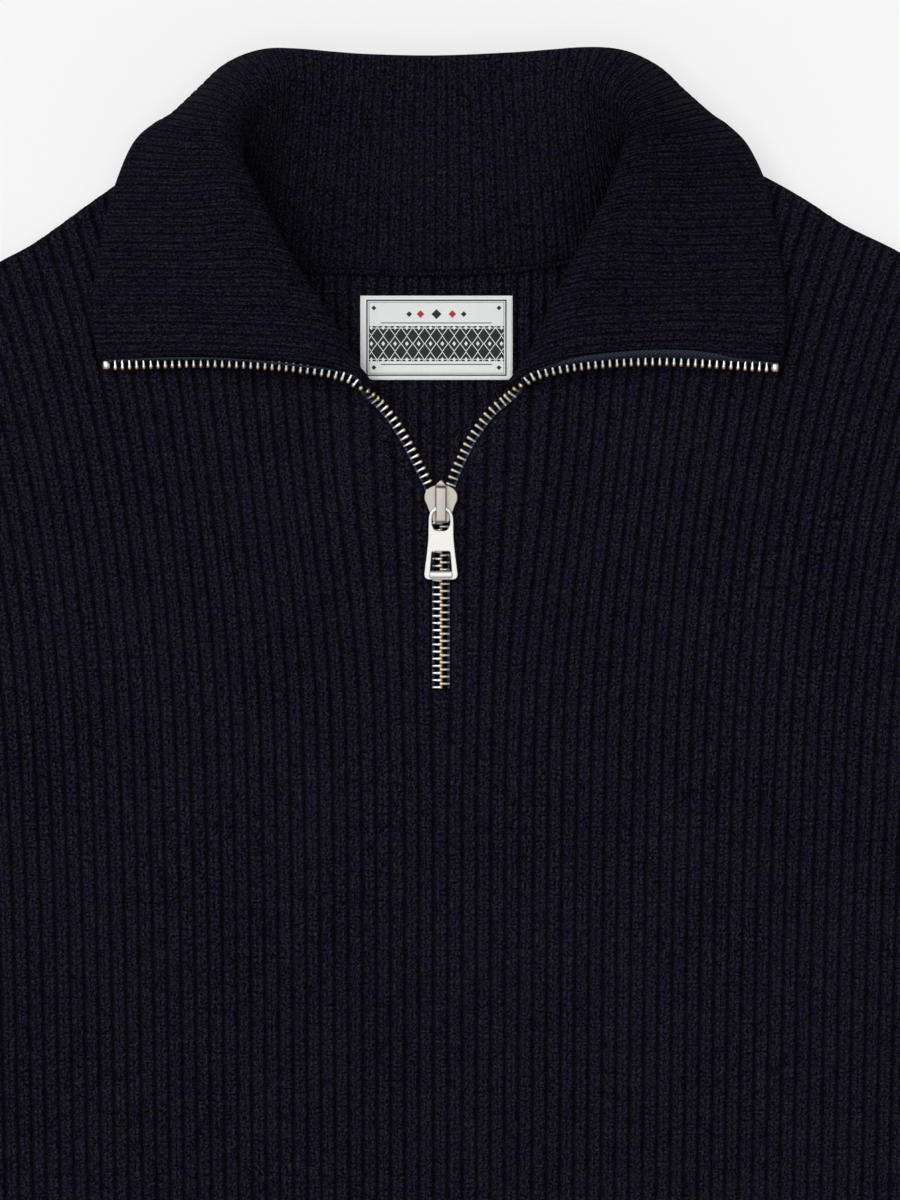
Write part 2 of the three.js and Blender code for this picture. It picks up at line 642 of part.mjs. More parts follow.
const makeTape = (side) => stripGeometry(
  zipFrames(side),
  side.sign,
  [SEAM, SEAM + TAPE_WIDTH],
  [-TAPE_THICKNESS / 2, TAPE_THICKNESS / 2],
);
const CHAIN_NEAR = SEAM + TAPE_WIDTH + CHAIN_GAP;
const makeChain = (side) => stripGeometry(
  zipFrames(side),
  side.sign,
  [CHAIN_NEAR, CHAIN_NEAR + CHAIN_WIDTH],
  [-CHAIN_THICKNESS / 2, CHAIN_THICKNESS / 2],
);

// ---- Slider and pull ----
const PLATE_LEVEL = FRONT_TOP + 0.2;
const PLATE_TOP = PLATE_LEVEL + SLIDER.plate;
const CROWN_FOOT = SLIDER.foot - 4;

function toSolid(geometry) {
  geometry.deleteAttribute("normal");
  geometry.deleteAttribute("uv");
  const merged = mergeVertices(geometry);
  const vertProperties = new Float32Array(merged.attributes.position.array);
  return new wasm.Manifold(new wasm.Mesh({ numProp: 3, vertProperties, triVerts: new Uint32Array(merged.index.array) }));
}

function toGeometry(solid) {
  const { vertProperties, triVerts } = solid.getMesh();
  return cleanGeometry(vertProperties, Array.from(triVerts));
}

function extruded(outlinePoints, depth, holes = []) {
  const shape = new THREE.Shape(outlinePoints.map(([x, y]) => new THREE.Vector2(x, y)));
  holes.forEach((hole) => shape.holes.push(new THREE.Path(hole.map(([x, y]) => new THREE.Vector2(x, y)))));
  return new THREE.ExtrudeGeometry(shape, { depth, bevelEnabled: false });
}

// The slider's top plate is a shield with a tongue below it. Its crown is a loop that the pull
// hangs in, rising from the head of the plate and coming down on the tongue.
function makeSlider() {
  const half = SLIDER.width / 2;
  const head = SLIDER.foot + SLIDER.length;
  const tongue = SLIDER.crownWidth / 2;
  const plate = extruded([
    [-tongue, CROWN_FOOT],
    [tongue, CROWN_FOOT],
    [tongue, SLIDER.foot - 0.6],
    [half * 0.62, SLIDER.foot],
    [half * 0.8, SLIDER.foot + 5],
    [half, head - 6],
    [half, head - 2.4],
    [half * 0.74, head],
    [-half * 0.74, head],
    [-half, head - 2.4],
    [-half, head - 6],
    [-half * 0.8, SLIDER.foot + 5],
    [-half * 0.62, SLIDER.foot],
    [-tongue, SLIDER.foot - 0.6],
  ], SLIDER.plate).translate(0, 0, PLATE_LEVEL);
  const top = SLIDER.crownRise;
  const bar = 1.1;
  const post = 2.8;
  const length = head - 0.6 - CROWN_FOOT;
  const crown = extruded([
    [0, -0.5],
    [post, -0.5],
    [post, top - bar - 0.4],
    [post + 0.8, top - bar],
    [length - post - 0.8, top - bar],
    [length - post, top - bar - 0.4],
    [length - post, -0.5],
    [length, -0.5],
    [length - 0.6, top - 1],
    [length - 2, top],
    [2, top],
    [0.6, top - 1],
  ], SLIDER.crownWidth);
  crown.rotateX(Math.PI / 2);
  crown.rotateZ(Math.PI / 2);
  crown.translate(-SLIDER.crownWidth / 2, CROWN_FOOT, PLATE_TOP);
  return toGeometry(toSolid(plate).add(toSolid(crown)));
}

// The pull hangs by its upper bar in the crown, and slopes down on to the closed chain.
const HINGE = { y: SLIDER.foot + 2.2, z: PLATE_TOP + 1.35 };
const PULL_SLOPE = THREE.MathUtils.degToRad(2.6);

function makePull() {
  const { length, neck, foot, thickness } = PULL;
  const ring = 0.9;
  const lower = -length + ring;
  const pull = extruded([
    [-neck / 2 + 1, ring],
    [neck / 2 - 1, ring],
    [neck / 2, ring - 1.2],
    [neck / 2, -12],
    [foot / 2, lower + 3.4],
    [foot / 2, lower + 1.2],
    [foot / 2 - 1.2, lower],
    [-foot / 2 + 1.2, lower],
    [-foot / 2, lower + 1.2],
    [-foot / 2, lower + 3.4],
    [-neck / 2, -12],
    [-neck / 2, ring - 1.2],
  ], thickness, [
    [[-3.9, -ring], [-3.9, -8.2], [-2.6, -9.7], [2.6, -9.7], [3.9, -8.2], [3.9, -ring]],
    [[-3.6, -18.6], [-5, -26.6], [5, -26.6], [3.6, -18.6]],
  ]);
  pull.translate(0, 0, -thickness / 2);
  pull.rotateX(PULL_SLOPE);
  pull.translate(0, HINGE.y, HINGE.z);
  return toGeometry(toSolid(pull));
}

// ---- Neck label ----
const LABEL = { left: -35.5, right: 31.5, top: -10.5, foot: -47.5, thickness: 0.8 };

function makeLabel() {
  const { left, right, top, foot, thickness } = LABEL;
  const label = extruded([[left, foot], [right, foot], [right, top], [left, top]], thickness);
  return label.translate(0, 0, LAYER + SEAM);
}

// ---- Finishes and assembly ----
const finish = (color, roughness, metalness = 0) => new THREE.MeshStandardMaterial({ color, roughness, metalness });
const knit = finish(0x14131d, 0.95);
const tapeCloth = finish(0x1b1e2a, 0.85);
const nickel = finish(0xc9c3b4, 0.3, 1);
const labelCloth = finish(0xe2e4e3, 0.8);

const sweater = new THREE.Group();

function addPiece(name, geometry, material) {
  const piece = new THREE.Mesh(geometry, material);
  piece.name = name;
  sweater.add(piece);
}

addPiece("front_panel", makeFront(), knit);
addPiece("back_panel", makeBack(), knit);
addPiece("hem_front", makeHem(FRONT_BASE, true), knit);
addPiece("hem_back", makeHem(0, false), knit);
addPiece("collar", makeCollar(), knit);
SIDES.forEach((side) => {
  addPiece(`sleeve_${side.name}`, makeSleeve(side.sign), knit);
  addPiece(`cuff_${side.name}`, makeCuff(side.sign), knit);
  addPiece(`zip_tape_${side.name}`, makeTape(side), tapeCloth);
  addPiece(`zip_chain_${side.name}`, makeChain(side), nickel);
});
addPiece("slider", makeSlider(), nickel);
addPiece("pull", makePull(), nickel);
addPiece("neck_label", makeLabel(), labelCloth);

const extent = new THREE.Box3().setFromObject(sweater);
const centre = extent.getCenter(new THREE.Vector3());
sweater.position.set(-centre.x, -centre.y, -extent.min.z);

export default sweater;
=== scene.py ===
import json
import math

import bmesh
import bpy
import numpy as np
from mathutils import Matrix, Vector


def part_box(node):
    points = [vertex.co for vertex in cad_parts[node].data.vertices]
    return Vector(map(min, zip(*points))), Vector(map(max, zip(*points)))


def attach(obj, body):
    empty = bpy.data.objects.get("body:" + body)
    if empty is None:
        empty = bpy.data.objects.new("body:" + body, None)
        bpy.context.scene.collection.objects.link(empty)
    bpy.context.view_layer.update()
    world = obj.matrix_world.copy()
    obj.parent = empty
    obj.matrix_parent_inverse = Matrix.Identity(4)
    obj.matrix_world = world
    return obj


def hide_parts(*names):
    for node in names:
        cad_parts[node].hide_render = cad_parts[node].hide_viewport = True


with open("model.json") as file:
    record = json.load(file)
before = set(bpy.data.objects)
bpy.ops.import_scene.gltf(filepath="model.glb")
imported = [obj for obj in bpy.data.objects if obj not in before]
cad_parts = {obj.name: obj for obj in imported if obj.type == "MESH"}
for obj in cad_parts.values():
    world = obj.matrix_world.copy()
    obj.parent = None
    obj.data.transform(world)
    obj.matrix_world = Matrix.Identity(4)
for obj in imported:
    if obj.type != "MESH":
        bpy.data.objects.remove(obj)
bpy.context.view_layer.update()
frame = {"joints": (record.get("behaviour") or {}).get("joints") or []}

# ---- Front ----
# The front is one panel of a heavy wool rib, knitted from the waist up and split down the middle
# for the zip. Its ribs fan out to the shoulders, lean away from the zip, and turn under in a
# smooth band at the opening, where the zip's tape is sewn behind them.
MIDDLE = (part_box("slider")[0].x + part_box("slider")[1].x) / 2
NECK_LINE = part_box("neck_label")[1].y + 0.0105  # the back neck seam, which the pattern starts at
FRONT_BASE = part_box("front_panel")[0].z
FRONT_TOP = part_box("front_panel")[1].z
SEAM = 0.0003
RIBS_A_SIDE = 45
COURSE = 0.003  # one stitch, up a rib
SLIT_HALF = 0.00425  # half of the slot that the closed zip fills
SLIT_FOOT = -0.184
UNDERARM = (0.281, -0.236)
SHOULDER_TIP = (0.252, -0.026)
HEM_LINE = -0.560
HEM_HALF = 0.271
RIB_DEPTH = 0.0019  # from the top of a rib to the furrow beside it
RIB_COLUMNS = (0, 0.09, 0.2, 0.35, 0.5, 0.65, 0.8, 0.91)
PLAIN_COLUMNS = (0, 0.12, 0.3, 0.5, 0.7, 0.88)  # for ribs that are seen less

# The edge of the neck opening on each side, from the slider up to the collar, and then the rest of
# the front's upper edge: round the neck, and down the shoulder towards its tip. In millimetres.
OPENING_EDGE = {
    -1: [(4.25, -104), (6.6, -98), (9.7, -91), (12.5, -85.5), (16.8, -77),
         (22.6, -67.5), (28.4, -60)],
    1: [(4.25, -104), (6, -97.5), (8.2, -90.5), (11.5, -83), (15, -76),
        (19.6, -69), (25, -62.4), (29.5, -58.8)],
}
NECK_AND_SHOULDER = {
    -1: [(34.5, -53), (46.5, -39.5), (61, -25.5), (74, -9), (84, 6),
         (92, 23), (97, 50), (110, 58.5), (130, 46.5), (151.5, 31.8),
         (178, 12.8), (194, 4), (222, -11)],
    1: [(34.5, -53), (44, -42), (57, -27.5), (69, -12), (79, 4),
        (87, 22), (92, 50), (106, 60), (126, 49.5), (146, 39.4),
        (162, 30.2), (178, 19.8), (202, 8), (226, -7)],
}


def smoothstep(value, low, high):
    share = np.clip((value - low) / (high - low), 0, 1)
    return share * share * (3 - 2 * share)


def through(rows, places):
    """Points of a smooth curve through the rows, at fractional places along them."""
    rows = np.asarray(rows, float)
    last = len(rows) - 1
    start = np.clip(np.floor(places).astype(int), 0, last - 1)
    share = (np.asarray(places) - start)[..., None]
    before, here, there, after = (rows[np.clip(start + offset, 0, last)] for offset in (-1, 0, 1, 2))
    square, cube = share ** 2, share ** 3
    return ((2 * cube - 3 * square + 1) * here + (cube - 2 * square + share) * (there - before) / 2
            + (3 * square - 2 * cube) * there + (cube - square) * (after - here) / 2)


def smooth_line(rows, steps_a_row=12):
    last = len(rows) - 1
    return through(rows, np.linspace(0, last, last * steps_a_row + 1))


def in_metres(rows):
    return np.array(rows) / 1000


UPPER_EDGE = {side: smooth_line([*in_metres(OPENING_EDGE[side] + NECK_AND_SHOULDER[side]), SHOULDER_TIP])
              for side in (-1, 1)}


def outline(side, across):
    """How far up the front reaches at a distance from the middle."""
    line = np.vstack([UPPER_EDGE[side], UNDERARM])
    return np.interp(across, line[:, 0], line[:, 1])


def side_taper(y):
    """How wide the body is at a height, next to its width at the underarm."""
    return np.interp(y, [HEM_LINE, UNDERARM[1]], [HEM_HALF / UNDERARM[0], 1])


def wale_x(rest, y):
    """Where a rib lies at a height, from where it would lie if all were straight."""
    fan = 0.3 * np.clip((y + 0.330) / 0.350, 0, 1.1) ** 3
    lean = 0.009 * (rest / 0.030) * np.exp(1 - rest / 0.030) * smoothstep(y, -0.200, -0.060)
    taper = side_taper(y)
    from_slit = np.clip((rest - SLIT_HALF) / 0.030, 0, 1)
    x = rest * (1 + fan * from_slit) * (1 + (taper - 1) * from_slit) + lean * from_slit
    return np.minimum(x, UNDERARM[0] * taper)


def wale_top(side, rest):
    """The height at which a rib meets the front's upper edge."""
    low = np.full_like(rest, SLIT_FOOT - 0.060)
    high = np.full_like(rest, 0.070)
    for _ in range(24):
        middle = (low + high) / 2
        is_inside = middle < outline(side, wale_x(rest, middle))
        low = np.where(is_inside, middle, low)
        high = np.where(is_inside, high, middle)
    return low


def chest_line(rest):
    return SLIT_FOOT - 0.078 * (rest / UNDERARM[0]) ** 2


def ribs_between(first, last, columns=RIB_COLUMNS):
    """Places across a stretch of ribs, counted in ribs, closer together at each furrow."""
    return np.append((np.arange(first, last)[:, None] + np.asarray(columns)).ravel(), last)


def rib_profile(places):
    """The height of a rib over its furrow, from 0 to 1: two rows of stitch legs and a furrow."""
    from_crest = np.abs(places % 1 - 0.5) * 2
    return 1 - from_crest ** 3.2 - 0.12 * np.exp(-(from_crest / 0.16) ** 2)


def from_line(x, y, line):
    """Each point's distance from a line of points."""
    start, step = line[:-1], np.diff(line, axis=0)
    offset_x, offset_y = x[..., None] - start[:, 0], y[..., None] - start[:, 1]
    length = np.maximum((step ** 2).sum(1), 1e-12)
    share = np.clip((offset_x * step[:, 0] + offset_y * step[:, 1]) / length, 0, 1)
    return np.sqrt((offset_x - share * step[:, 0]) ** 2 + (offset_y - share * step[:, 1]) ** 2).min(-1)


def rounded(distance, radius):
    """How high a rounded edge has risen at a distance in from it, from 0 to 1."""
    return np.sqrt(1 - (1 - np.clip(distance / radius, 0, 1)) ** 2)


EDGE_FOOT = 0.0008  # how high above its base a rounded edge starts


def round_edge(base, level, distance, radius):
    """Heights of cloth that rises to its level in a round edge."""
    return base + EDGE_FOOT + (level - base - EDGE_FOOT) * rounded(distance, radius)


def lay_grid(bm, x, y, z, ribs, courses):
    """Lays a grid of cloth through the points, and gives each its place in ribs and courses.
    Whatever is the same for every row, or for every column, is given only once."""
    rows, columns = (size - 1 for size in x.shape)
    made = bmesh.ops.create_grid(bm, x_segments=columns, y_segments=rows, size=1)["verts"]
    texture = bm.loops.layers.uv.verify()
    grids = np.broadcast_arrays(x + MIDDLE, y + NECK_LINE, z, ribs, courses)
    spots = np.column_stack([grid.ravel() for grid in grids]).tolist()
    stitches = {}
    for vert, (x_at, y_at, z_at, rib, course) in zip(made, spots):
        vert.co = (x_at, y_at, z_at)
        stitches[vert] = (rib, course)
    for face in {face for vert in made for face in vert.link_faces}:
        for loop in face.loops:
            loop[texture].uv = stitches[loop.vert]
        face.smooth = True
    return made


def close_flat(bm, level):
    """Takes the rim of a piece of cloth down to a level, and closes it there with a flat face."""
    rim = [edge for edge in bm.edges if edge.is_boundary]
    lowered = bmesh.ops.extrude_edge_only(bm, edges=rim)["geom"]
    for item in lowered:
        if isinstance(item, bmesh.types.BMVert):
            item.co.z = level
    bmesh.ops.edgeloop_fill(bm, edges=[edge for edge in bm.edges if edge.is_boundary])


def stand(name, data):
    thing = bpy.data.objects.new(name, data)
    bpy.context.scene.collection.objects.link(thing)
    return thing


def add_object(name, bm, material):
    mesh = bpy.data.meshes.new(name)
    bm.to_mesh(mesh)
    bm.free()
    mesh.materials.append(material)
    return stand(name, mesh)


def make_piece(name, bm, material, replaces=(), body="garment"):
    """Adds a piece of the garment, with its faces turned outward."""
    bmesh.ops.recalc_face_normals(bm, faces=bm.faces)
    piece = add_object(name, bm, material)
    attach(piece, body)
    if replaces:
        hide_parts(*replaces)
    return piece


def feed(node, inputs):
    """Gives the sockets of a node their values or links."""
    for name, value in inputs.items():
        if isinstance(value, Wire):
            value.tree.links.new(value.socket, node.inputs[name])
        else:
            node.inputs[name].default_value = value


class Wire:
    """A shader socket that can be reckoned with: each operator adds its Math node."""

    def __init__(self, tree, socket=None):
        self.tree = tree
        self.socket = socket

    def node(self, kind, settings=None, inputs=None, output=0):
        """Any other node: its settings first, then the values or links of its sockets."""
        node = self.tree.nodes.new(kind)
        for name, value in (settings or {}).items():
            setattr(node, name, value)
        feed(node, inputs or {})
        return Wire(self.tree, node.outputs[output])

    def math(self, operation, *others):
        return self.node("ShaderNodeMath", {"operation": operation}, dict(enumerate((self, *others))))

    def __rsub__(self, other):
        return self.node("ShaderNodeMath", {"operation": "SUBTRACT"}, {0: other, 1: self})

    def __abs__(self):
        return self.math("ABSOLUTE")

    def floor(self):
        return self.math("FLOOR")

    def part(self):
        return self.math("FRACT")

    def above(self, other):
        return self.math("GREATER_THAN", other)

    def within(self, low, high):
        """1 where the value lies between low and high, and 0 elsewhere."""
        return self.above(low) * (1 - self.above(high))

    def ease(self, low, high):
        """Goes softly from 0 at low to 1 at high."""
        return self.node("ShaderNodeMapRange", {"interpolation_type": "SMOOTHSTEP"},
                         {"Value": self, "From Min": low, "From Max": high})

    def mix(self, first, second):
        """The first colour where this is 0, and the second where it is 1."""
        return self.node("ShaderNodeMix", {"data_type": "RGBA"}, {0: self, 6: first, 7: second}, output=2)

    def clamped(self):
        return self.node("ShaderNodeClamp", inputs={"Value": self})

    def wave(self):
        """The sine of the value, in half turns."""
        return (self * math.pi).math("SINE")

    def place(self):
        """Where on its piece a point lies, in metres."""
        return self.node("ShaderNodeTexCoord", output=3)

    def axis(self, number):
        """A vector's coordinate: 0 for x and 1 for y."""
        return self.node("ShaderNodeSeparateXYZ", inputs={0: self}, output=number)

    def noise(self, scale, detail, **more):
        inputs = {"Vector": self, "Scale": scale, "Detail": detail, **more}
        return self.node("ShaderNodeTexNoise", inputs=inputs)

    def bump(self, strength, distance):
        inputs = {"Strength": strength, "Distance": distance, "Height": self}
        return self.node("ShaderNodeBump", inputs=inputs)


OPERATORS = {"add": "ADD", "radd": "ADD", "sub": "SUBTRACT", "mul": "MULTIPLY", "rmul": "MULTIPLY",
             "truediv": "DIVIDE", "pow": "POWER"}
for symbol, operation in OPERATORS.items():
    setattr(Wire, f"__{symbol}__", lambda wire, other, kind=operation: wire.math(kind, other))


def new_material(name):
    """An empty material, the wire that its nodes start from, and its own surface shader."""
    material = bpy.data.materials.new(name)
    material.use_nodes = True
    return material, Wire(material.node_tree), material.node_tree.nodes["Principled BSDF"]


def set_surface(shader, **inputs):
    """Sets the shader's sockets, whose names are written here with _ for a space."""
    feed(shader, {name.replace("_", " "): value for name, value in inputs.items()})


def knit(name, light, blue, shade_and_fleck, leg=1.0, depth=0.6):
    """Dyed wool in rib stitch, of legs as high as leg gives, with painted shade in its furrows and
    between its stitches, as strong as depth gives. It reads ribs and courses from the cloth's own map."""
    material, start, shader = new_material(name)
    spot = start.node("ShaderNodeUVMap")
    place = start.place()
    wander = place.noise(330, 2)
    across = spot.axis(0) + (wander - 0.5) * 0.26
    along = spot.axis(1) + (wander - 0.5) * 1.5
    from_crest = abs(across.part() - 0.5) * 2
    # Each stitch is a pair of legs that lean in to the crest of the rib and meet low down there.
    rung = along - from_crest * 0.55
    leg_side = (across * 2).floor()
    legs = rung.part().wave() ** 0.55
    strand = 1 - (abs(from_crest - 0.46) * 1.9) ** 2
    groove = from_crest.ease(0.0, 0.22)
    furrow = 1 - from_crest.ease(0.42, 0.96)
    cell = start.node("ShaderNodeCombineXYZ", inputs={0: leg_side, 1: rung.floor()})
    chance = start.node("ShaderNodeTexWhiteNoise", {"noise_dimensions": "2D"}, {"Vector": cell})
    fibre = place.noise(1150, 3, Roughness=0.8)
    dye = place.noise(210, 3, Roughness=0.7)
    cloud = place.noise(16, 2)
    height = strand * 0.35 + legs * strand * leg * 0.8 + groove * 0.3 + fibre * 0.9
    # Painted shade: the colour darkens in the furrows, in the groove between a stitch's legs and between
    # stitches.
    shade = (legs * 0.42 * leg + 0.34 + groove * 0.24) * (furrow * depth + (1 - depth))
    fleck = fibre.ease(0.42, 0.61) * 1.05
    tone = (shade * fleck + (chance - 0.5) * 0.07 + (cloud - 0.5) * 0.16).clamped()
    color = dye.ease(0.38, 0.66).mix((*light, 1), (*blue, 1))
    set_surface(shader, Base_Color=tone.mix((*shade_and_fleck, 1), color), Roughness=0.85,
                Normal=height.bump(1.0, 0.0010), Specular_IOR_Level=0.02,
                Sheen_Weight=0.008, Sheen_Roughness=0.45, Sheen_Tint=(0.55, 0.55, 0.75, 1))
    return material


NAVY_LIGHT = (0.0298, 0.0273, 0.0400)
NAVY_BLUE = (0.0230, 0.0200, 0.0470)
# The dark end of the knit's colour: painted shade in its furrows and between its stitches, and the yarn's
# dark flecks.
NAVY_SHADE_AND_FLECK = (0.0005, 0.0004, 0.0012)
wool = knit("navy_rib", NAVY_LIGHT, NAVY_BLUE, NAVY_SHADE_AND_FLECK)

BAND = 0.0050  # width of the smooth band beside the zip
BAND_LEVEL = 0.62  # its height, as a share of a rib's
FRONT_ROUND = 0.0035
LOWER_EDGE_ROWS = (0, 0.0004, 0.0012, 0.0024)
UPPER_EDGE_ROWS = (0.0050, 0.0036, 0.0022, 0.0011, 0.0004, 0)
ROWS_ABOVE = 44  # rows of cells from the foot of the slot up
WAIST_MARGIN = 0.005


def front_rows(side_rest, top, lower_rows=44):
    """Heights of the rows of cells up each rib, close together at the seams."""
    chest = chest_line(side_rest)
    near_hem = HEM_LINE + np.asarray(LOWER_EDGE_ROWS)[:, None] + 0 * side_rest
    share = np.linspace(0, 1, lower_rows)[:, None]
    lower = (HEM_LINE + WAIST_MARGIN) * (1 - share) + chest * share
    share = np.linspace(0, 1, ROWS_ABOVE)[1:, None]
    upper = chest * (1 - share) + (top - UPPER_EDGE_ROWS[0]) * share
    near_top = top - np.asarray(UPPER_EDGE_ROWS[1:])[:, None]
    return np.vstack([near_hem, lower, upper, near_top]), len(near_hem) + lower_rows - 1


# Each crease in millimetres: where it starts and ends, half of its width, and its height, which is
# below 0 for a trough.
FRONT_CREASES = [
    ((-238, -150), (-85, -262), 15, -1.2), ((-205, -118), (-70, -196), 11, 0.8),
    ((246, -176), (98, -236), 13, -1), ((192, -92), (112, -204), 16, 0.7),
    ((-12, -222), (-118, -330), 19, -0.9), ((30, -208), (138, -305), 14, -0.8),
    ((226, -300), (120, -372), 17, 1), ((-214, -352), (-60, -398), 20, -1.1),
    ((-150, -470), (40, -446), 22, 0.8), ((205, -452), (60, -512), 16, -1),
]


def creases(x, y, rows):
    """The height that soft creases add to cloth. Each bends a little, and fades at its ends."""
    x, y, height = x * 1000, y * 1000, 0
    for (x_start, y_start), (x_end, y_end), width, rise in rows:
        run = math.hypot(x_end - x_start, y_end - y_start)
        along = ((x - x_start) * (x_end - x_start) + (y - y_start) * (y_end - y_start)) / run ** 2
        across = ((x - x_start) * (y_end - y_start) - (y - y_start) * (x_end - x_start)) / run
        bent = across - 0.35 * run * along * (1 - along)
        fade = smoothstep(along, -0.08, 0.30) * (1 - smoothstep(along, 0.62, 1.08))
        height = height + rise * np.exp(-(bent / width) ** 2) * fade
    return height / 1000


def make_front():
    places = ribs_between(-RIBS_A_SIDE, RIBS_A_SIDE + 1)
    from_middle = places - 0.5
    rest = SLIT_HALF + np.maximum(np.abs(from_middle) - 0.5, 0) * (UNDERARM[0] - SLIT_HALF) / RIBS_A_SIDE
    profile = rib_profile(places)
    top = np.where(from_middle < 0, wale_top(-1, rest), wale_top(1, rest))
    top = top + 0.0008 * (profile - 0.5)
    y, slit_row = front_rows(rest, top)
    half = SLIT_HALF - 0.0011 * (1 - smoothstep(y, SLIT_FOOT - 0.050, SLIT_FOOT))
    closing = (SLIT_HALF - half) * np.exp(-(rest - SLIT_HALF) / 0.030)
    x = np.sign(from_middle) * (wale_x(rest, y) - closing)
    x = np.where(np.abs(from_middle) < 0.5, 2 * from_middle * half, x)
    edges = [np.vstack([(SLIT_HALF, SLIT_FOOT), UPPER_EDGE[side], UNDERARM, (HEM_HALF, HEM_LINE)]) * (side, 1)
             for side in (-1, 1)]
    foot = np.array([(-SLIT_HALF, SLIT_FOOT), (SLIT_HALF, SLIT_FOOT)])
    hem = np.array([(-HEM_HALF, HEM_LINE), (HEM_HALF, HEM_LINE)])
    near = np.min([from_line(x, y, line) for line in (*edges, foot, hem)], axis=0)
    opening = [np.vstack([(SLIT_HALF, SLIT_FOOT), smooth_line(in_metres(OPENING_EDGE[side]))]) * (side, 1)
               for side in (-1, 1)]
    from_opening = np.min([from_line(x, y, line) for line in (*opening, foot)], axis=0)
    flatten = smoothstep(from_opening, 0.55 * BAND, 1.4 * BAND)
    relief = (BAND_LEVEL + (profile - BAND_LEVEL) * (0.22 + 0.78 * flatten)) * RIB_DEPTH
    level = FRONT_TOP - RIB_DEPTH + relief + creases(x, y, FRONT_CREASES) * smoothstep(near, 0.002, 0.020)
    bm = bmesh.new()
    z = round_edge(FRONT_BASE, level, near, FRONT_ROUND)
    verts = lay_grid(bm, x, y, z, places, (y - HEM_LINE) / COURSE)
    columns = x.shape[1]
    centre = {index for index, place in enumerate(places) if 0 <= place <= 1}
    slot = {verts[row * columns + column] for row in range(slit_row, y.shape[0]) for column in centre}
    cut = [face for face in bm.faces if all(vert in slot for vert in face.verts)]
    bmesh.ops.delete(bm, geom=cut, context="FACES")
    close_flat(bm, FRONT_BASE)
    return make_piece("front_knit", bm, wool, replaces=["front_panel"])


front = make_front()

# ---- Back ----
# The back is knitted whole in the same rib, and its neck is only as deep as the collar's seam
# behind the neck. It lies under the front, and shows inside the neck opening.
BACK_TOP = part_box("back_panel")[1].z
# Its upper edge, from the middle of the neck outward, in millimetres.
BACK_EDGE = {
    -1: [(0, -0.2), (38, 0.4), (60, 1.2), (70, 5.8), (80, 16.5),
         (90, 31), (98, 41)],
    1: [(0, -0.2), (38, 2.1), (60, 6.7), (70, 13), (80, 25.5),
        (90, 36), (98, 43)],
}
BACK_TUCK = 0.0009  # how far the back's upper edge runs on, under the foot of the collar
BACK_ROUND = 0.0012
BACK_RIB_DEPTH = 0.0016
SIDE_FLARE = 0.010 / 0.324  # how fast the sides spread from the waist up


def make_back():
    places = ribs_between(-RIBS_A_SIDE, RIBS_A_SIDE + 1, PLAIN_COLUMNS)
    rest = np.abs(places - 0.5) * UNDERARM[0] / (RIBS_A_SIDE + 0.5)
    side_top = np.where(places < 0.5, outline(-1, rest), outline(1, rest))
    necks = {side: np.interp(rest, *in_metres(BACK_EDGE[side]).T) for side in (-1, 1)}
    neck = np.where(places < 0.5, necks[-1], necks[1])
    top = np.where(rest < in_metres(BACK_EDGE[1])[-1, 0], neck, side_top) + BACK_TUCK
    y, _ = front_rows(rest, top, 24)
    x = np.sign(places - 0.5) * rest * side_taper(y) * 0.997
    line = np.column_stack([x[-1], y[-1]])
    near = np.minimum(from_line(x, y, line[::6]), HEM_HALF + SIDE_FLARE * (y - HEM_LINE) - np.abs(x))
    level = BACK_TOP - BACK_RIB_DEPTH * (1 - rib_profile(places))
    bm = bmesh.new()
    lay_grid(bm, x, y, round_edge(0, level, near, BACK_ROUND), places, (y - HEM_LINE) / COURSE)
    close_flat(bm, 0)
    return make_piece("back_knit", bm, wool, replaces=["back_panel"])


back = make_back()

# ---- Waist band ----
# A closer rib, knitted on to the lower edges of the front and the back, draws them in. It is one
# band on each, joined at the side seams.
BAND_DEPTH = 0.064
BAND_HALF = 0.263
BAND_RIBS = 108
# Its depth paints lighter shade in the furrows than the body's wool has.
close_wool = knit("navy_close_rib", NAVY_LIGHT, NAVY_BLUE, NAVY_SHADE_AND_FLECK, leg=0.8, depth=0.42)


def make_hem(name, node, base, height):
    places = ribs_between(0, BAND_RIBS, (0, 0.15, 0.4, 0.65, 0.85))
    share = np.linspace(0, 1, 24)[:, None]
    half = BAND_HALF + (HEM_HALF - 0.002 - BAND_HALF) * share
    x = half * (2 * places / BAND_RIBS - 1)
    y = HEM_LINE - BAND_DEPTH + (BAND_DEPTH - SEAM) * share
    near = np.minimum(np.minimum(y - HEM_LINE + BAND_DEPTH, HEM_LINE - SEAM - y + 0.001), half - np.abs(x))
    level = height - 0.0014 * (1 - rib_profile(places))
    bm = bmesh.new()
    lay_grid(bm, x, y, round_edge(base, level, near, 0.003), places, (y - y.min()) / COURSE)
    close_flat(bm, base)
    return make_piece(name, bm, close_wool, replaces=[node])


hem_front = make_hem("waist_band_front", "hem_front", FRONT_BASE, FRONT_TOP)
hem_back = make_hem("waist_band_back", "hem_back", 0, BACK_TOP)

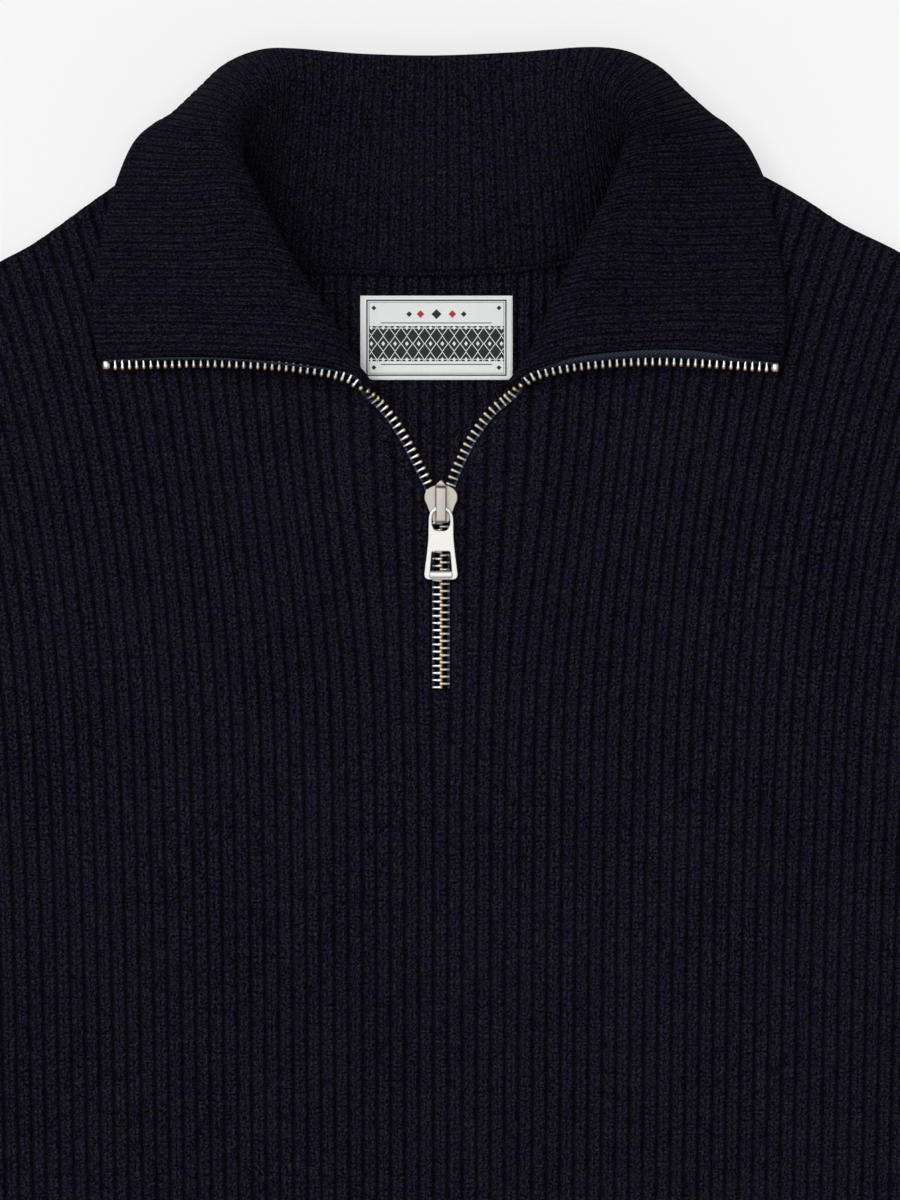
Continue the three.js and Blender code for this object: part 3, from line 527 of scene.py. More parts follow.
# ---- Sleeves and cuffs ----
# Each sleeve is a tube in the same rib, set in at the dropped shoulder and narrowing to the wrist,
# with a close ribbed cuff knitted on. Both lie flat, folded along their two long edges.
SLEEVE_DROP = math.radians(60)
ALONG = np.array([math.cos(SLEEVE_DROP), -math.sin(SLEEVE_DROP)])
ACROSS = np.array([math.sin(SLEEVE_DROP), math.cos(SLEEVE_DROP)])
ARM_WIDTH = 0.185
WRIST_WIDTH = 0.108
SLEEVE_RUN = 0.330
CUFF_WIDTH = 0.092
CUFF_DEPTH = 0.070
WRIST_INNER = np.array(UNDERARM) + SLEEVE_RUN * ALONG + 0.020 * ACROSS
WRIST_OUTER = WRIST_INNER + WRIST_WIDTH * ACROSS
ARMHOLE_GAP = np.array([0.0004, 0.0001])
TUBE_HEIGHT = 2 * BACK_TOP + SEAM
TUBE_WALL = 0.0028
TUBE_GAP = 0.0005  # half of the space inside a tube
CLOTH_WELD = 0.00002  # points nearer than this become one


def reach_along(line):
    """How far along a line each of its points lies."""
    return np.append(0, np.cumsum(np.linalg.norm(np.diff(line, axis=0), axis=1)))


def between(line, reach, wanted):
    """A line's values at the wanted reaches, from the reach of each of its points."""
    return np.column_stack([np.interp(wanted, reach, column) for column in line.T])


def at_shares(line, shares):
    """Points at shares of a line's length."""
    reach = reach_along(line)
    return between(line, reach, np.asarray(shares) * reach[-1])


def flat_tube(name, material, side, inner, outer, ribs, node, depth=RIB_DEPTH, folds=()):
    """A tube of cloth laid flat between two edges: ribbed above, and plain where it rests."""
    rows = len(inner)
    places = ribs_between(0, ribs, PLAIN_COLUMNS)
    width = np.linalg.norm(outer - inner, axis=1)[:, None]
    courses = reach_along((inner + outer) / 2)[:, None] / COURSE
    middle = TUBE_HEIGHT / 2
    share = places / ribs
    across = np.minimum(share, 1 - share) * width
    swell = rounded(across, 0.006)
    x = side * (inner[:, :1] + (outer - inner)[:, :1] * share)
    y = inner[:, 1:] + (outer - inner)[:, 1:] * share
    height = TUBE_HEIGHT - depth * (1 - rib_profile(places)) - middle + creases(side * x, y, folds)
    bm = bmesh.new()
    lay_grid(bm, x, y, middle + height * swell, places, courses)
    lay_grid(bm, x, y, middle - middle * swell, places, courses)
    bmesh.ops.remove_doubles(bm, verts=bm.verts, dist=CLOTH_WELD)
    bmesh.ops.recalc_face_normals(bm, faces=bm.faces)
    inset = np.clip(share, TUBE_WALL / width[0], 1 - TUBE_WALL / width[0])
    ends = [0, rows - 1]
    inside = []
    for sign in (1, -1):
        x_in = side * (inner[ends, :1] + (outer - inner)[ends, :1] * inset)
        y_in = inner[ends, 1:] + (outer - inner)[ends, 1:] * inset
        from_fold = np.minimum(inset, 1 - inset) * width[ends] - TUBE_WALL + 1e-9
        z_in = middle + sign * TUBE_GAP * rounded(from_fold, 0.003)
        inside += lay_grid(bm, x_in, y_in, z_in, places, courses[ends])
    inside_faces = {face for vert in inside for face in vert.link_faces}
    bmesh.ops.remove_doubles(bm, verts=inside, dist=CLOTH_WELD)
    inside_faces = [face for face in inside_faces if face.is_valid]
    rims = [edge for edge in bm.edges if edge.is_boundary]
    for end in ends:
        spot = Vector((inner[end] + outer[end]) / 2 * (side, 1) + (MIDDLE, NECK_LINE))
        reach = 0.6 * width[end, 0] + 0.004
        ring = [edge for edge in rims
                if (((edge.verts[0].co + edge.verts[1].co) / 2).xy - spot).length < reach]
        bmesh.ops.bridge_loops(bm, edges=ring)
    return make_piece(name, bm, material, replaces=[node])


# The sleeves' creases, with their places down from the underarm and across from the inner edge.
ARM_CREASES = [
    ((30, 12), (62, 120), 12, -1.2), ((85, 172), (118, 70), 9, 0.9),
    ((142, 6), (170, 98), 10, -1.3), ((168, 10), (205, 82), 8, 1),
    ((232, 120), (262, 38), 11, -1), ((290, 18), (300, 100), 9, 0.7),
]


def make_arm(side, word):
    start = np.array(SHOULDER_TIP) + ARMHOLE_GAP
    bend = np.array(UNDERARM) + 0.015 * ALONG + ARM_WIDTH * ACROSS
    upper = smooth_line([start, (0.348, -0.078), bend, WRIST_OUTER], 30)
    share = np.linspace(0, 1, 60)
    upper = at_shares(upper, share)
    armpit = np.array(UNDERARM) + ARMHOLE_GAP
    under = armpit + (WRIST_INNER - armpit) * share[:, None]
    folds = [(*(1000 * np.array(UNDERARM) + down * ALONG + over * ACROSS for down, over in row[:2]), *row[2:])
             for row in ARM_CREASES]
    sleeve = flat_tube(f"sleeve_{word}_knit", wool, side, under, upper, 28, f"sleeve_{word}", folds=folds)
    share = np.linspace(0, 1, 20)
    spare = (WRIST_WIDTH - CUFF_WIDTH) / 2
    inset = np.interp(share, [0, 0.2, 0.45, 1], [0.0016, 0.75 * spare, spare, spare])[:, None]
    along = (SEAM + (CUFF_DEPTH - SEAM) * share)[:, None] * ALONG
    inner = WRIST_INNER + along + inset * ACROSS
    outer = WRIST_INNER + along + (WRIST_WIDTH - inset) * ACROSS
    cuff = flat_tube(f"cuff_{word}_knit", close_wool, side, inner, outer, 20, f"cuff_{word}", 0.0015)


make_arm(-1, "left")
make_arm(1, "right")

# ---- Collar ----
# The collar is a double layer of a closer rib, knitted on round the neck. Its ribs stand up behind
# the neck, roll over at the sides, and lie crosswise on the shoulders down to the zip's ends.
COLLAR_RIBS = 118
COLLAR_WALL = 0.0044
COLLAR_ROUND = 0.0030
COLLAR_HEIGHT = 0.115
COLLAR_RIB = 0.0037
# Each section starts with its rib, and goes up from the neck seam, over the roll and down the fall to
# the folded top edge, in millimetres.
COLLAR_SECTIONS = [
    (0, (-28.8, -51.9, 10), (-44, -43, 16), (-93, -37.7, 14.5), (-151, -38.6, 10.8)),
    (5, (-43.5, -40, 10.2), (-50.5, -23, 24), (-101, -18.5, 19), (-153.5, -18.5, 10.8)),
    (10, (-60, -23, 10.2), (-65, -1, 32), (-107.5, 1, 23), (-151.8, 1, 10.8)),
    (15, (-71, -10, 10.2), (-76, 19, 37), (-112.5, 20, 27), (-148, 20, 11)),
    (20, (-81, 3, 10.2), (-85, 36.5, 41), (-115, 37.5, 31), (-143, 37.5, 13)),
    (25, (-89, 16, 10), (-91, 50.5, 44), (-113, 53, 34), (-135.3, 55, 15)),
    (28, (-92, 22.5, 9.8), (-91.8, 58, 45), (-108.5, 61, 36), (-127, 62.8, 15)),
    (30, (-93, 27, 9.5), (-91.5, 62.5, 45), (-105, 66, 37), (-118.4, 67.6, 15)),
    (34, (-91.5, 33, 9), (-88.5, 71.5, 44.5), (-97, 76.5, 37.5), (-106.7, 78.1, 15)),
    (38, (-86, 29, 8), (-82, 79, 42), (-87, 84, 38), (-94.3, 89.6, 20)),
    (42, (-78, 18, 6), (-72, 83.5, 37.5), (-74.5, 90, 36), (-79, 95.8, 26)),
    (46, (-66.5, 3.6, 4.6), (-59.5, 82, 33), (-60, 90.5, 32.5), (-60.5, 96.7, 28.5)),
    (52, (-38, 1, 4.6), (-34, 74, 28.5), (-33, 86, 30), (-32.5, 94.8, 29.5)),
    (59, (-2, 0.2, 4.6), (-2, 72, 27), (-2, 84, 29), (-2, 94.2, 29)),
    (66, (36, 2.2, 4.6), (32, 75, 28.5), (31, 87, 30), (31, 95.5, 29.5)),
    (72, (64.5, 8.4, 4.6), (58, 80.5, 33), (60, 90.5, 32.5), (61.5, 97.5, 28.5)),
    (76, (76, 22, 6), (71, 81, 37.5), (75.5, 89, 36), (80, 95.6, 25.5)),
    (80, (83, 33, 8), (79.5, 76, 42), (86.5, 83, 38), (95.3, 88.5, 20)),
    (84, (87.5, 34.5, 9), (84.5, 69, 44.5), (95.5, 74.5, 37.5), (106.6, 78.1, 15)),
    (88, (88.5, 26, 9.5), (85, 60, 45), (103, 65, 37), (118.8, 67.7, 15)),
    (90, (87, 21.5, 9.7), (84, 55.8, 45), (105.5, 60, 36), (126.5, 62.6, 15.5)),
    (93, (84, 14, 10), (81.5, 48.5, 44), (109, 52, 35), (135, 54, 16)),
    (98, (76, 1, 10.2), (76.5, 34, 41), (110, 37, 31), (142.8, 38, 13)),
    (103, (67, -12, 10.2), (68, 17, 37), (107, 19, 27), (146.8, 20, 11)),
    (108, (56, -25, 10.2), (58, -2, 32), (103, 0, 23), (150.2, 1, 10.8)),
    (113, (42.5, -40, 10.2), (49, -23, 24), (98, -17.5, 19), (151.8, -18.5, 10.8)),
    (118, (28.4, -51.1, 10), (44, -42, 16), (89, -36.8, 14.5), (150.5, -39.8, 10.8)),
]


def bent_through(points, shares):
    """Points at shares of the length of an even bend through four or more points."""
    points = np.asarray(points, float)
    ends = np.vstack([2 * points[0] - points[1], points, 2 * points[-1] - points[-2]])
    spans = np.linalg.norm(np.diff(ends, axis=0), axis=1) ** 0.5
    dense = []
    for at in range(1, len(ends) - 2):
        before, here, there, after = ends[at - 1:at + 3]
        first, span, last = spans[at - 1:at + 2]
        leaving = (here - before) / first - (there - before) / (first + span) + (there - here) / span
        arriving = (there - here) / span - (after - here) / (span + last) + (after - there) / last
        t = np.linspace(0, 1, 40)[:, None]
        bend = ((2 * t ** 3 - 3 * t ** 2 + 1) * here + (t ** 3 - 2 * t ** 2 + t) * leaving * span
                + (3 * t ** 2 - 2 * t ** 3) * there + (t ** 3 - t ** 2) * arriving * span)
        dense.append(bend if at == 1 else bend[1:])
    return at_shares(np.vstack(dense), shares)


def collar_middle(ribs, shares):
    """The collar's middle surface, as a grid of points: one column for each rib given."""
    rails = in_metres([np.ravel(section[1:]) for section in COLLAR_SECTIONS])
    places = np.interp(ribs, [section[0] for section in COLLAR_SECTIONS], range(len(COLLAR_SECTIONS)))
    return np.stack([bent_through(row.reshape(4, 3), shares) for row in through(rails, places)], axis=1)


def unit(vectors):
    return vectors / np.maximum(np.linalg.norm(vectors, axis=-1, keepdims=True), 1e-12)


def rests_on(x, y):
    """What the collar lies on at each place: the front, or the ground past its shoulder."""
    edge = np.where(x < 0, outline(-1, np.abs(x)), outline(1, np.abs(x)))
    return np.where((np.abs(x) > SLIT_HALF) & (y < edge + 0.002), FRONT_TOP + SEAM, SEAM)


def make_collar():
    ribs = ribs_between(0, COLLAR_RIBS, (0, 0.13, 0.31, 0.5, 0.69, 0.87))
    edge = np.array([0, 0.0006, 0.0016, 0.0030]) / COLLAR_HEIGHT
    shares = np.concatenate([edge, np.linspace(0.045, 0.955, 50), 1 - edge[::-1]])
    middle = collar_middle(ribs, shares)
    along_edge = np.gradient(middle, axis=1)
    along_ribs = np.gradient(middle, axis=0)
    normal = unit(np.cross(along_edge, along_ribs))
    reach = np.minimum(shares, 1 - shares)[:, None] * COLLAR_HEIGHT
    ends = np.minimum(ribs, COLLAR_RIBS - ribs)[None, :] * COLLAR_RIB
    swell = rounded(np.minimum(reach, ends), COLLAR_ROUND)[..., None]
    relief = 0.0010 * rib_profile(ribs)[None, :, None] - 0.0002
    relief = relief * smoothstep(reach, 0.001, 0.006)[..., None]
    shown = middle + normal * (COLLAR_WALL / 2 + relief) * swell
    under = middle - normal * (COLLAR_WALL / 2) * swell
    bm = bmesh.new()
    for face in (shown, under):
        x, y, z = np.moveaxis(face, 2, 0)
        lay_grid(bm, x, y, np.maximum(z, rests_on(x, y)), ribs, shares[:, None] * COLLAR_HEIGHT / COURSE)
    bmesh.ops.remove_doubles(bm, verts=bm.verts, dist=CLOTH_WELD)
    return make_piece("collar_knit", bm, close_wool, replaces=["collar"])


collar = make_collar()

# ---- Neck seam ----
# The collar is linked on to the body loop by loop, and the linking shows as a thick corded ridge
# in the same wool along the foot of the collar.
LINK_PITCH = COLLAR_RIB
LINK_RADIUS = 0.00160
FINE_WELD = 0.00001


def close_tube(bm, verts, columns):
    """Caps a tube whose rows of points run along it, the last row being the first again."""
    for end in (0, columns - 1):
        bmesh.ops.contextual_create(bm, geom=verts[end:-columns:columns])
    bmesh.ops.remove_doubles(bm, verts=bm.verts, dist=FINE_WELD)


def make_neck_seam():
    ribs = np.linspace(1, COLLAR_RIBS - 1, 1400)
    edge, above = collar_middle(ribs, [0, 0.03])
    away = unit(edge - above)
    heading = unit(np.gradient(edge, axis=0))
    side = unit(np.cross(heading, away))
    reach = reach_along(edge)
    around = np.linspace(0, 2 * math.pi, 13)[:, None]
    loops = LINK_RADIUS * (0.78 + 0.22 * np.abs(np.sin(math.pi * reach / LINK_PITCH + 0.5 * around)))
    centre = edge + away * 0.0007 + np.array([0, 0, 0.0003])
    ring = centre + side * (loops * np.cos(around))[..., None] + away * (loops * np.sin(around))[..., None]
    x, y, z = np.moveaxis(ring, 2, 0)
    bm = bmesh.new()
    verts = lay_grid(bm, x, y, np.maximum(z, 0.0006), reach / LINK_PITCH, around / math.pi)
    close_tube(bm, verts, len(reach))
    return make_piece("neck_seam", bm, close_wool)


make_neck_seam()

# ---- Zip tapes ----
# A dark navy tape in herringbone weave is sewn along each edge of the opening, from the foot of the
# slot up to the collar and over on to its end. Only its edge shows beside the teeth, and more of it
# on the right fall, where the collar is turned back furthest.
ZIP_LEVEL = FRONT_BASE + 0.55 * (FRONT_TOP - FRONT_BASE - 0.0011)
CHAIN_MIDDLE = 0.00285  # from the cloth's edge to the middle of the teeth
TURN_RISE = 0.0020
TURN_EASE = 0.0008
TURN_TILT = np.array([0, 0, 0.30])


def zip_path(side):
    """The chain's middle and the direction out of the cloth, up the slot, along the opening and over
    on to the collar's end."""
    cloth_edge = in_metres(OPENING_EDGE[side])
    slot = np.linspace(SLIT_FOOT + 0.0006, cloth_edge[0, 1], 60)[:-1]
    on_slot = np.column_stack([side * SLIT_HALF + 0 * slot, slot, ZIP_LEVEL + 0 * slot])
    edge = [(side * x, y, ZIP_LEVEL) for x, y in cloth_edge]
    share = np.linspace(0, 1, 80)
    opening = bent_through(edge, share)
    heading = unit(np.gradient(opening, axis=0))
    out = np.column_stack([-side * heading[:, 1], side * heading[:, 0], 0 * share])
    opening[:, 2] += 0.0015 * share ** 2
    before = np.vstack([on_slot, opening])
    before_out = np.vstack([np.tile([-side, 0, 0], (len(slot), 1)), out])
    share = np.linspace(0.12, 0.985, 90)
    rim = collar_middle([0, 0.5] if side < 0 else [COLLAR_RIBS - 0.5, COLLAR_RIBS], share)
    on_collar = rim[:, 0 if side < 0 else 1]
    collar_out = side * unit(rim[:, 1] - rim[:, 0])
    on_collar = on_collar + collar_out * (TURN_EASE * (1 - smoothstep(share, 0.12, 0.5)))[:, None]
    first = before[-1] + before_out[-1] * CHAIN_MIDDLE
    last = on_collar[0] + collar_out[0] * CHAIN_MIDDLE
    turn = np.linspace(0, 1, 22)[1:-1, None]
    arch = np.sin(math.pi * turn)
    turn_out = unit(before_out[-1] * (1 - turn) + collar_out[0] * turn + TURN_TILT * arch)
    turning = first * (1 - turn) + last * turn + (0, 0, TURN_RISE) * arch
    middle = np.vstack([before + before_out * CHAIN_MIDDLE, turning, on_collar + collar_out * CHAIN_MIDDLE])
    return middle, np.vstack([before_out, turn_out, collar_out])


def frames_along(side, reach):
    """Place, heading, outward and upward directions at distances along a side's chain."""
    middle, out = zip_path(side)
    length = reach_along(middle)
    place, ahead, behind = (between(middle, length, reach + offset) for offset in (0, 0.002, -0.002))
    heading = unit(ahead - behind)
    outward = between(out, length, reach)
    outward = unit(outward - heading * (outward * heading).sum(1, keepdims=True))
    return place, heading, outward, side * np.cross(heading, outward)


def chain_length(side):
    middle, _ = zip_path(side)
    return np.linalg.norm(np.diff(middle, axis=0), axis=1).sum()


def herringbone():
    """Twill lines that lean one way and then the other, in two navy yarns."""
    material, start, shader = new_material("zip_herringbone")
    spot = start.node("ShaderNodeUVMap")
    lean = abs(spot.axis(1).part() - 0.5) * 2
    ridge = (spot.axis(0) + lean * 1.6).part().wave()
    fibre = start.place().noise(1600, 2)
    tone = (ridge ** 2.0 * 0.9 + (fibre - 0.5) * 0.9).clamped()
    set_surface(shader, Base_Color=tone.mix((0.0018, 0.0020, 0.0042, 1), (0.032, 0.036, 0.062, 1)),
                Roughness=0.75, Specular_IOR_Level=0.15, Normal=(ridge + fibre * 0.4).bump(0.7, 0.0002))
    return material


tape_weave = herringbone()
TAPE_OUTER = 0.0014  # how far the tape stands out of the cloth's edge
TAPE_HALF_THICKNESS = 0.00045
WEAVE_PITCH = 0.0019


def make_tape(side, word, strip):
    """The tape's shown edge, and a strip of it that lies on the collar's face at one end."""
    length = chain_length(side)
    reach = np.linspace(0.0002, length - 0.0002, 420)
    place, heading, outward, up = frames_along(side, reach)
    from_end = length - reach
    spread = strip * smoothstep(from_end, 0.002, 0.046) * (1 - smoothstep(from_end, 0.084, 0.110))
    inner = 0.0002 - spread
    across = np.array([0, 0.25, 0.5, 0.75, 1.0])[:, None]
    low = inner + (TAPE_OUTER - inner) * across - CHAIN_MIDDLE
    lift = spread / max(strip, 1e-6) * (COLLAR_WALL / 2 + 0.0020) * (1 - smoothstep(across, 0.45, 1.0))
    over, under = (place + (outward * low[..., None] + up * (level * TAPE_HALF_THICKNESS - lift)[..., None])
                   for level in (1, -1))
    ring = np.concatenate([over, under[::-1], over[:1]])
    x, y, z = np.moveaxis(ring, 2, 0)
    widths = np.concatenate([low, low[::-1], low[:1]]) / (2.2 * WEAVE_PITCH)
    bm = bmesh.new()
    close_tube(bm, lay_grid(bm, x, y, z, reach / WEAVE_PITCH, widths), len(reach))
    tape = make_piece(f"tape_{word}", bm, tape_weave, replaces=[f"zip_tape_{word}"])


make_tape(-1, "left", 0.0006)
make_tape(1, "right", 0.0034)

# ---- Zip teeth ----
# Each tooth is a small nickel casting, clamped on the tape's corded edge by its legs, with a rounded
# head tinted like brass. The two sides alternate, and lock below the slider. A stop ends each row.
TOOTH_PITCH = 0.00314
TOOTH_SIDES = 8
STOP_ROOM = 0.0036  # what the stop leaves free of teeth at the end of a row
STOP_FROM_END = 0.0017
# Rings along a tooth from its legs to the tip of its head, in millimetres: how far out from the
# chain's middle, how wide along the chain, and how thick.
TOOTH_RINGS = [
    (-2.5, 0, 0), (-2.5, 0.8, 1.4), (-2.28, 1.12, 1.9), (0.1, 1.18, 2.1),
    (0.45, 1.3, 2.2), (0.8, 1.68, 2.4), (1.7, 1.64, 2.3),
    (2.08, 1.24, 1.7), (2.22, 0.7, 0.9), (2.22, 0, 0),
]
STOP_RINGS = [
    (-2, 0, 0), (-2, 2.6, 2.4), (-1.7, 3.3, 3.2), (1.3, 3.4, 3.2),
    (1.7, 2.8, 2.4), (1.7, 0, 0),
]


def zip_alloy():
    """Polished nickel silver that turns to brass on a tooth's head, by the piece's own map."""
    material, start, shader = new_material("zip_alloy")
    scratch = start.place().noise(700, 4)
    brass = start.node("ShaderNodeUVMap").axis(0).ease(0.55, 0.9)
    color = brass.mix((0.80, 0.80, 0.81, 1), (0.62, 0.50, 0.32, 1))
    set_surface(shader, Base_Color=color, Metallic=1.0, Roughness=0.2 + scratch * 0.2,
                Normal=scratch.bump(0.15, 0.0001))
    return material


alloy = zip_alloy()


def add_casting(bm, rings, place, heading, outward, up):
    """A squarish casting through rings that stand out from a place on the chain."""
    out, width, thick = (in_metres(column)[:, None, None] for column in zip(*rings))
    turn = 2 * math.pi * (np.arange(TOOTH_SIDES + 1) + 0.5) / TOOTH_SIDES
    square = 0.5 / math.cos(math.pi / TOOTH_SIDES)
    along, over = (square * wave(turn)[None, :, None] for wave in (np.cos, np.sin))
    spots = place + outward * out + heading * width * along + up * thick * over
    x, y, z = np.moveaxis(spots, 2, 0)
    share = (out[..., 0] - out.min()) / (out.max() - out.min())
    lay_grid(bm, x, y, z, share, turn)


def make_teeth(side, word, shift):
    length = chain_length(side)
    reach = np.append(np.arange(shift, length - STOP_ROOM, TOOTH_PITCH), length - STOP_FROM_END)
    spots = list(zip(*frames_along(side, reach)))
    bm = bmesh.new()
    for number, spot in enumerate(spots):
        rings = STOP_RINGS if number == len(spots) - 1 else TOOTH_RINGS
        add_casting(bm, rings, *spot)
    bmesh.ops.remove_doubles(bm, verts=bm.verts, dist=FINE_WELD)
    make_piece(f"teeth_{word}", bm, alloy, replaces=[f"zip_chain_{word}"])


make_teeth(-1, "left", 0.0007)
make_teeth(1, "right", 0.0007 + TOOTH_PITCH / 2)

# ---- Slider ----
# A cast nickel slider: a shield with two rounded shoulders that narrows to a waist, the point of its
# wedge between the two rows of teeth, and a crown that the pull hangs in.
SLIDER_LOW, SLIDER_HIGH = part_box("slider")
PLATE_THICK = 0.0017
CROWN_RISE = SLIDER_HIGH.z - SLIDER_LOW.z - PLATE_THICK
CROWN_WIDTH = 0.0042


def soft_corners(points, radius, steps=5):
    """An outline with each of its corners bent round."""
    points = np.asarray(points, float)
    line = []
    for before, corner, after in zip(np.roll(points, 1, 0), points, np.roll(points, -1, 0)):
        first, last = before - corner, after - corner
        size = [min(radius, 0.48 * np.linalg.norm(arm)) / np.linalg.norm(arm) for arm in (first, last)]
        start, end = corner + first * size[0], corner + last * size[1]
        for share in np.linspace(0, 1, steps):
            line.append(start * (1 - share) ** 2 + corner * 2 * share * (1 - share) + end * share ** 2)
    return np.array(line)


def add_plate(bm, outlines, thickness, edge, place):
    """Adds a plate with rounded edges, from a flat outline and the outlines of its holes."""
    shape = bpy.data.curves.new("plate", "CURVE")
    shape.dimensions = "2D"
    shape.fill_mode = "BOTH"
    shape.extrude = thickness / 2 - edge
    shape.bevel_depth = edge
    shape.bevel_resolution = 2
    shape.offset = -edge
    for points in outlines:
        spline = shape.splines.new("POLY")
        spline.points.add(len(points) - 1)
        spline.use_cyclic_u = True
        for spot, (x, y) in zip(spline.points, points):
            spot.co = (x, y, 0, 1)
    form = bpy.data.objects.new("plate", shape)
    mesh = bpy.data.meshes.new_from_object(form)
    bpy.data.objects.remove(form)
    bpy.data.curves.remove(shape)
    mesh.transform(place)
    made = len(bm.verts)
    bm.from_mesh(mesh)
    bpy.data.meshes.remove(mesh)
    bmesh.ops.remove_doubles(bm, verts=list(bm.verts)[made:], dist=FINE_WELD)


def mirrored(points):
    """A closed outline from its right half, listed in millimetres from the top down."""
    return in_metres(points + [(-x, y) for x, y in reversed(points)])


def brushed_metal(name, color, roughness, lines, groove=0.0):
    """Nickel with fine brushed lines along the garment, slight wear in its gloss, and painted shade
    in a strip on each side of the crown, as strong as groove gives."""
    material, start, shader = new_material(name)
    place = start.place()
    from_crown = abs(place.axis(0) - MIDDLE)
    # Painted shade: the colour goes toward black in a strip beside each side of the crown, and slightly
    # everywhere else, as strong as groove gives.
    painted_crown_shade = (from_crown.within(CROWN_WIDTH / 2, CROWN_WIDTH / 2 + 0.0006) * 0.88 + 0.12) * groove
    stretched = start.node("ShaderNodeMapping", inputs={"Vector": place, "Scale": (1, 0.06, 1)})
    brush, wear = stretched.noise(4200, 2), place.noise(260, 4)
    dull, black = ([share * value for value in color] + [1] for share in (0.82, 0.25))
    tone = ((brush - 0.5) * lines + wear * 0.5 + 0.25).mix(dull, [*color, 1])
    tone = painted_crown_shade.mix(tone, black)
    set_surface(shader, Base_Color=tone, Metallic=1.0, Roughness=roughness + (wear - 0.5) * 0.12,
                Normal=(brush * lines + wear * 0.3).bump(0.2, 0.00005))
    return material


SHIELD = [
    (1.8, -93.6), (4.8, -94.7), (6.6, -96.3), (7.4, -98.5), (7.3, -100.6),
    (6.1, -102.8), (5.5, -105), (4.3, -107), (3.9, -110.4),
]
WEDGE = [(0.3, -91.7), (2.1, -93.6), (2.7, -98)]


def make_slider():
    bm = bmesh.new()
    at = Matrix.Translation((MIDDLE, NECK_LINE, SLIDER_LOW.z + PLATE_THICK / 2))
    add_plate(bm, [soft_corners(mirrored(SHIELD), 0.0016)], PLATE_THICK, 0.0004, at)
    at = Matrix.Translation((MIDDLE, NECK_LINE, SLIDER_LOW.z - 0.0003))
    add_plate(bm, [mirrored(WEDGE)], 0.0026, 0.0003, at)
    foot, head = -0.1105, -0.0941
    run = head - foot
    arch = [
        (0, -0.0005), (0, CROWN_RISE - 0.0010), (0.0008, CROWN_RISE), (run - 0.0012, CROWN_RISE),
        (run, CROWN_RISE - 0.0012), (run, -0.0005), (run - 0.0027, -0.0005),
        (run - 0.0027, CROWN_RISE - 0.0016),
        (run - 0.0034, CROWN_RISE - 0.0011), (0.0034, CROWN_RISE - 0.0011), (0.0027, CROWN_RISE - 0.0016),
        (0.0027, -0.0005),
    ]
    upright = Matrix(((0, 0, 1, MIDDLE), (1, 0, 0, NECK_LINE + foot),
                      (0, 1, 0, SLIDER_LOW.z + PLATE_THICK), (0, 0, 0, 1)))
    add_plate(bm, [soft_corners(arch, 0.0005, 4)], CROWN_WIDTH, 0.0003, upright)
    # The last value, 0.75, is the strength of the painted shade beside the crown.
    make_piece("slider_shield", bm, brushed_metal("slider_nickel", (0.47, 0.44, 0.395), 0.36, 1.2, 0.75),
               replaces=["slider"])


make_slider()

# ---- Pull ----
# The pull is a stamped plate of pale sand-blasted nickel that widens to its foot. Its upper hole
# hangs in the crown, and a turned bar closes the lower window.
HINGE = Vector(frame["joints"][0]["pos_m"])
PULL_SLOPE = math.radians(2.6)
PULL_THICK = 0.0017
PULL_OUTLINE = [
    (3, 0.9), (5.3, -2.4), (5.5, -6), (5.6, -13), (6.2, -19),
    (7.2, -27), (7.5, -29.6), (6.3, -31.1),
]
UPPER_HOLE = [(2.6, -0.9), (3.9, -2.7), (4, -7.2), (2.6, -9.6)]
WINDOW = [(4, -18.6), (5, -30.3)]
FOOT_BAR = (-0.0291, 0.0019, 0.0098)  # where its middle lies below the hinge, its radius and length


def make_pull():
    place = Matrix.Translation(HINGE) @ Matrix.Rotation(PULL_SLOPE, 4, "X")
    holes = [soft_corners(mirrored(UPPER_HOLE), 0.0012), soft_corners(mirrored(WINDOW), 0.0008)]
    bm = bmesh.new()
    add_plate(bm, [soft_corners(mirrored(PULL_OUTLINE), 0.0016), *holes], PULL_THICK, 0.00035, place)
    middle, radius, length = FOOT_BAR
    bar = bmesh.ops.create_cone(bm, cap_ends=True, segments=36, radius1=radius, radius2=radius,
                                depth=length)["verts"]
    rims = [edge for edge in {edge for vert in bar for edge in vert.link_edges}
            if max(len(face.verts) for face in edge.link_faces) > 4]
    flattened = Matrix.Diagonal((1, 1, 0.72, 1))
    turned = Matrix.Translation((0, middle, 0)) @ flattened @ Matrix.Rotation(math.pi / 2, 4, "Y")
    bmesh.ops.transform(bm, matrix=place @ turned, verts=bar)
    bmesh.ops.bevel(bm, geom=rims, offset=0.0003, segments=2, affect="EDGES", profile=0.5, material=-1)
    make_piece("pull_plate", bm, brushed_metal("pull_nickel", (0.71, 0.705, 0.67), 0.42, 0.6),
               replaces=["pull"], body="pull")


make_pull()

# ---- Neck label ----
# A woven satin label, sewn inside the back neck with small stitches round its edge. It carries a
# plain woven ornament: a frame of thin lines, and a dark panel with a lattice of lozenges.
LABEL_LOW, LABEL_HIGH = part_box("neck_label")
LABEL_SIZE = LABEL_HIGH - LABEL_LOW
LABEL_MIDDLE = (LABEL_LOW + LABEL_HIGH) / 2


PANEL_DROP = 2.6  # how far below the middle the dark panel lies, in mm
SPOT_RISE = 10.4  # and how far above it the row of small lozenges


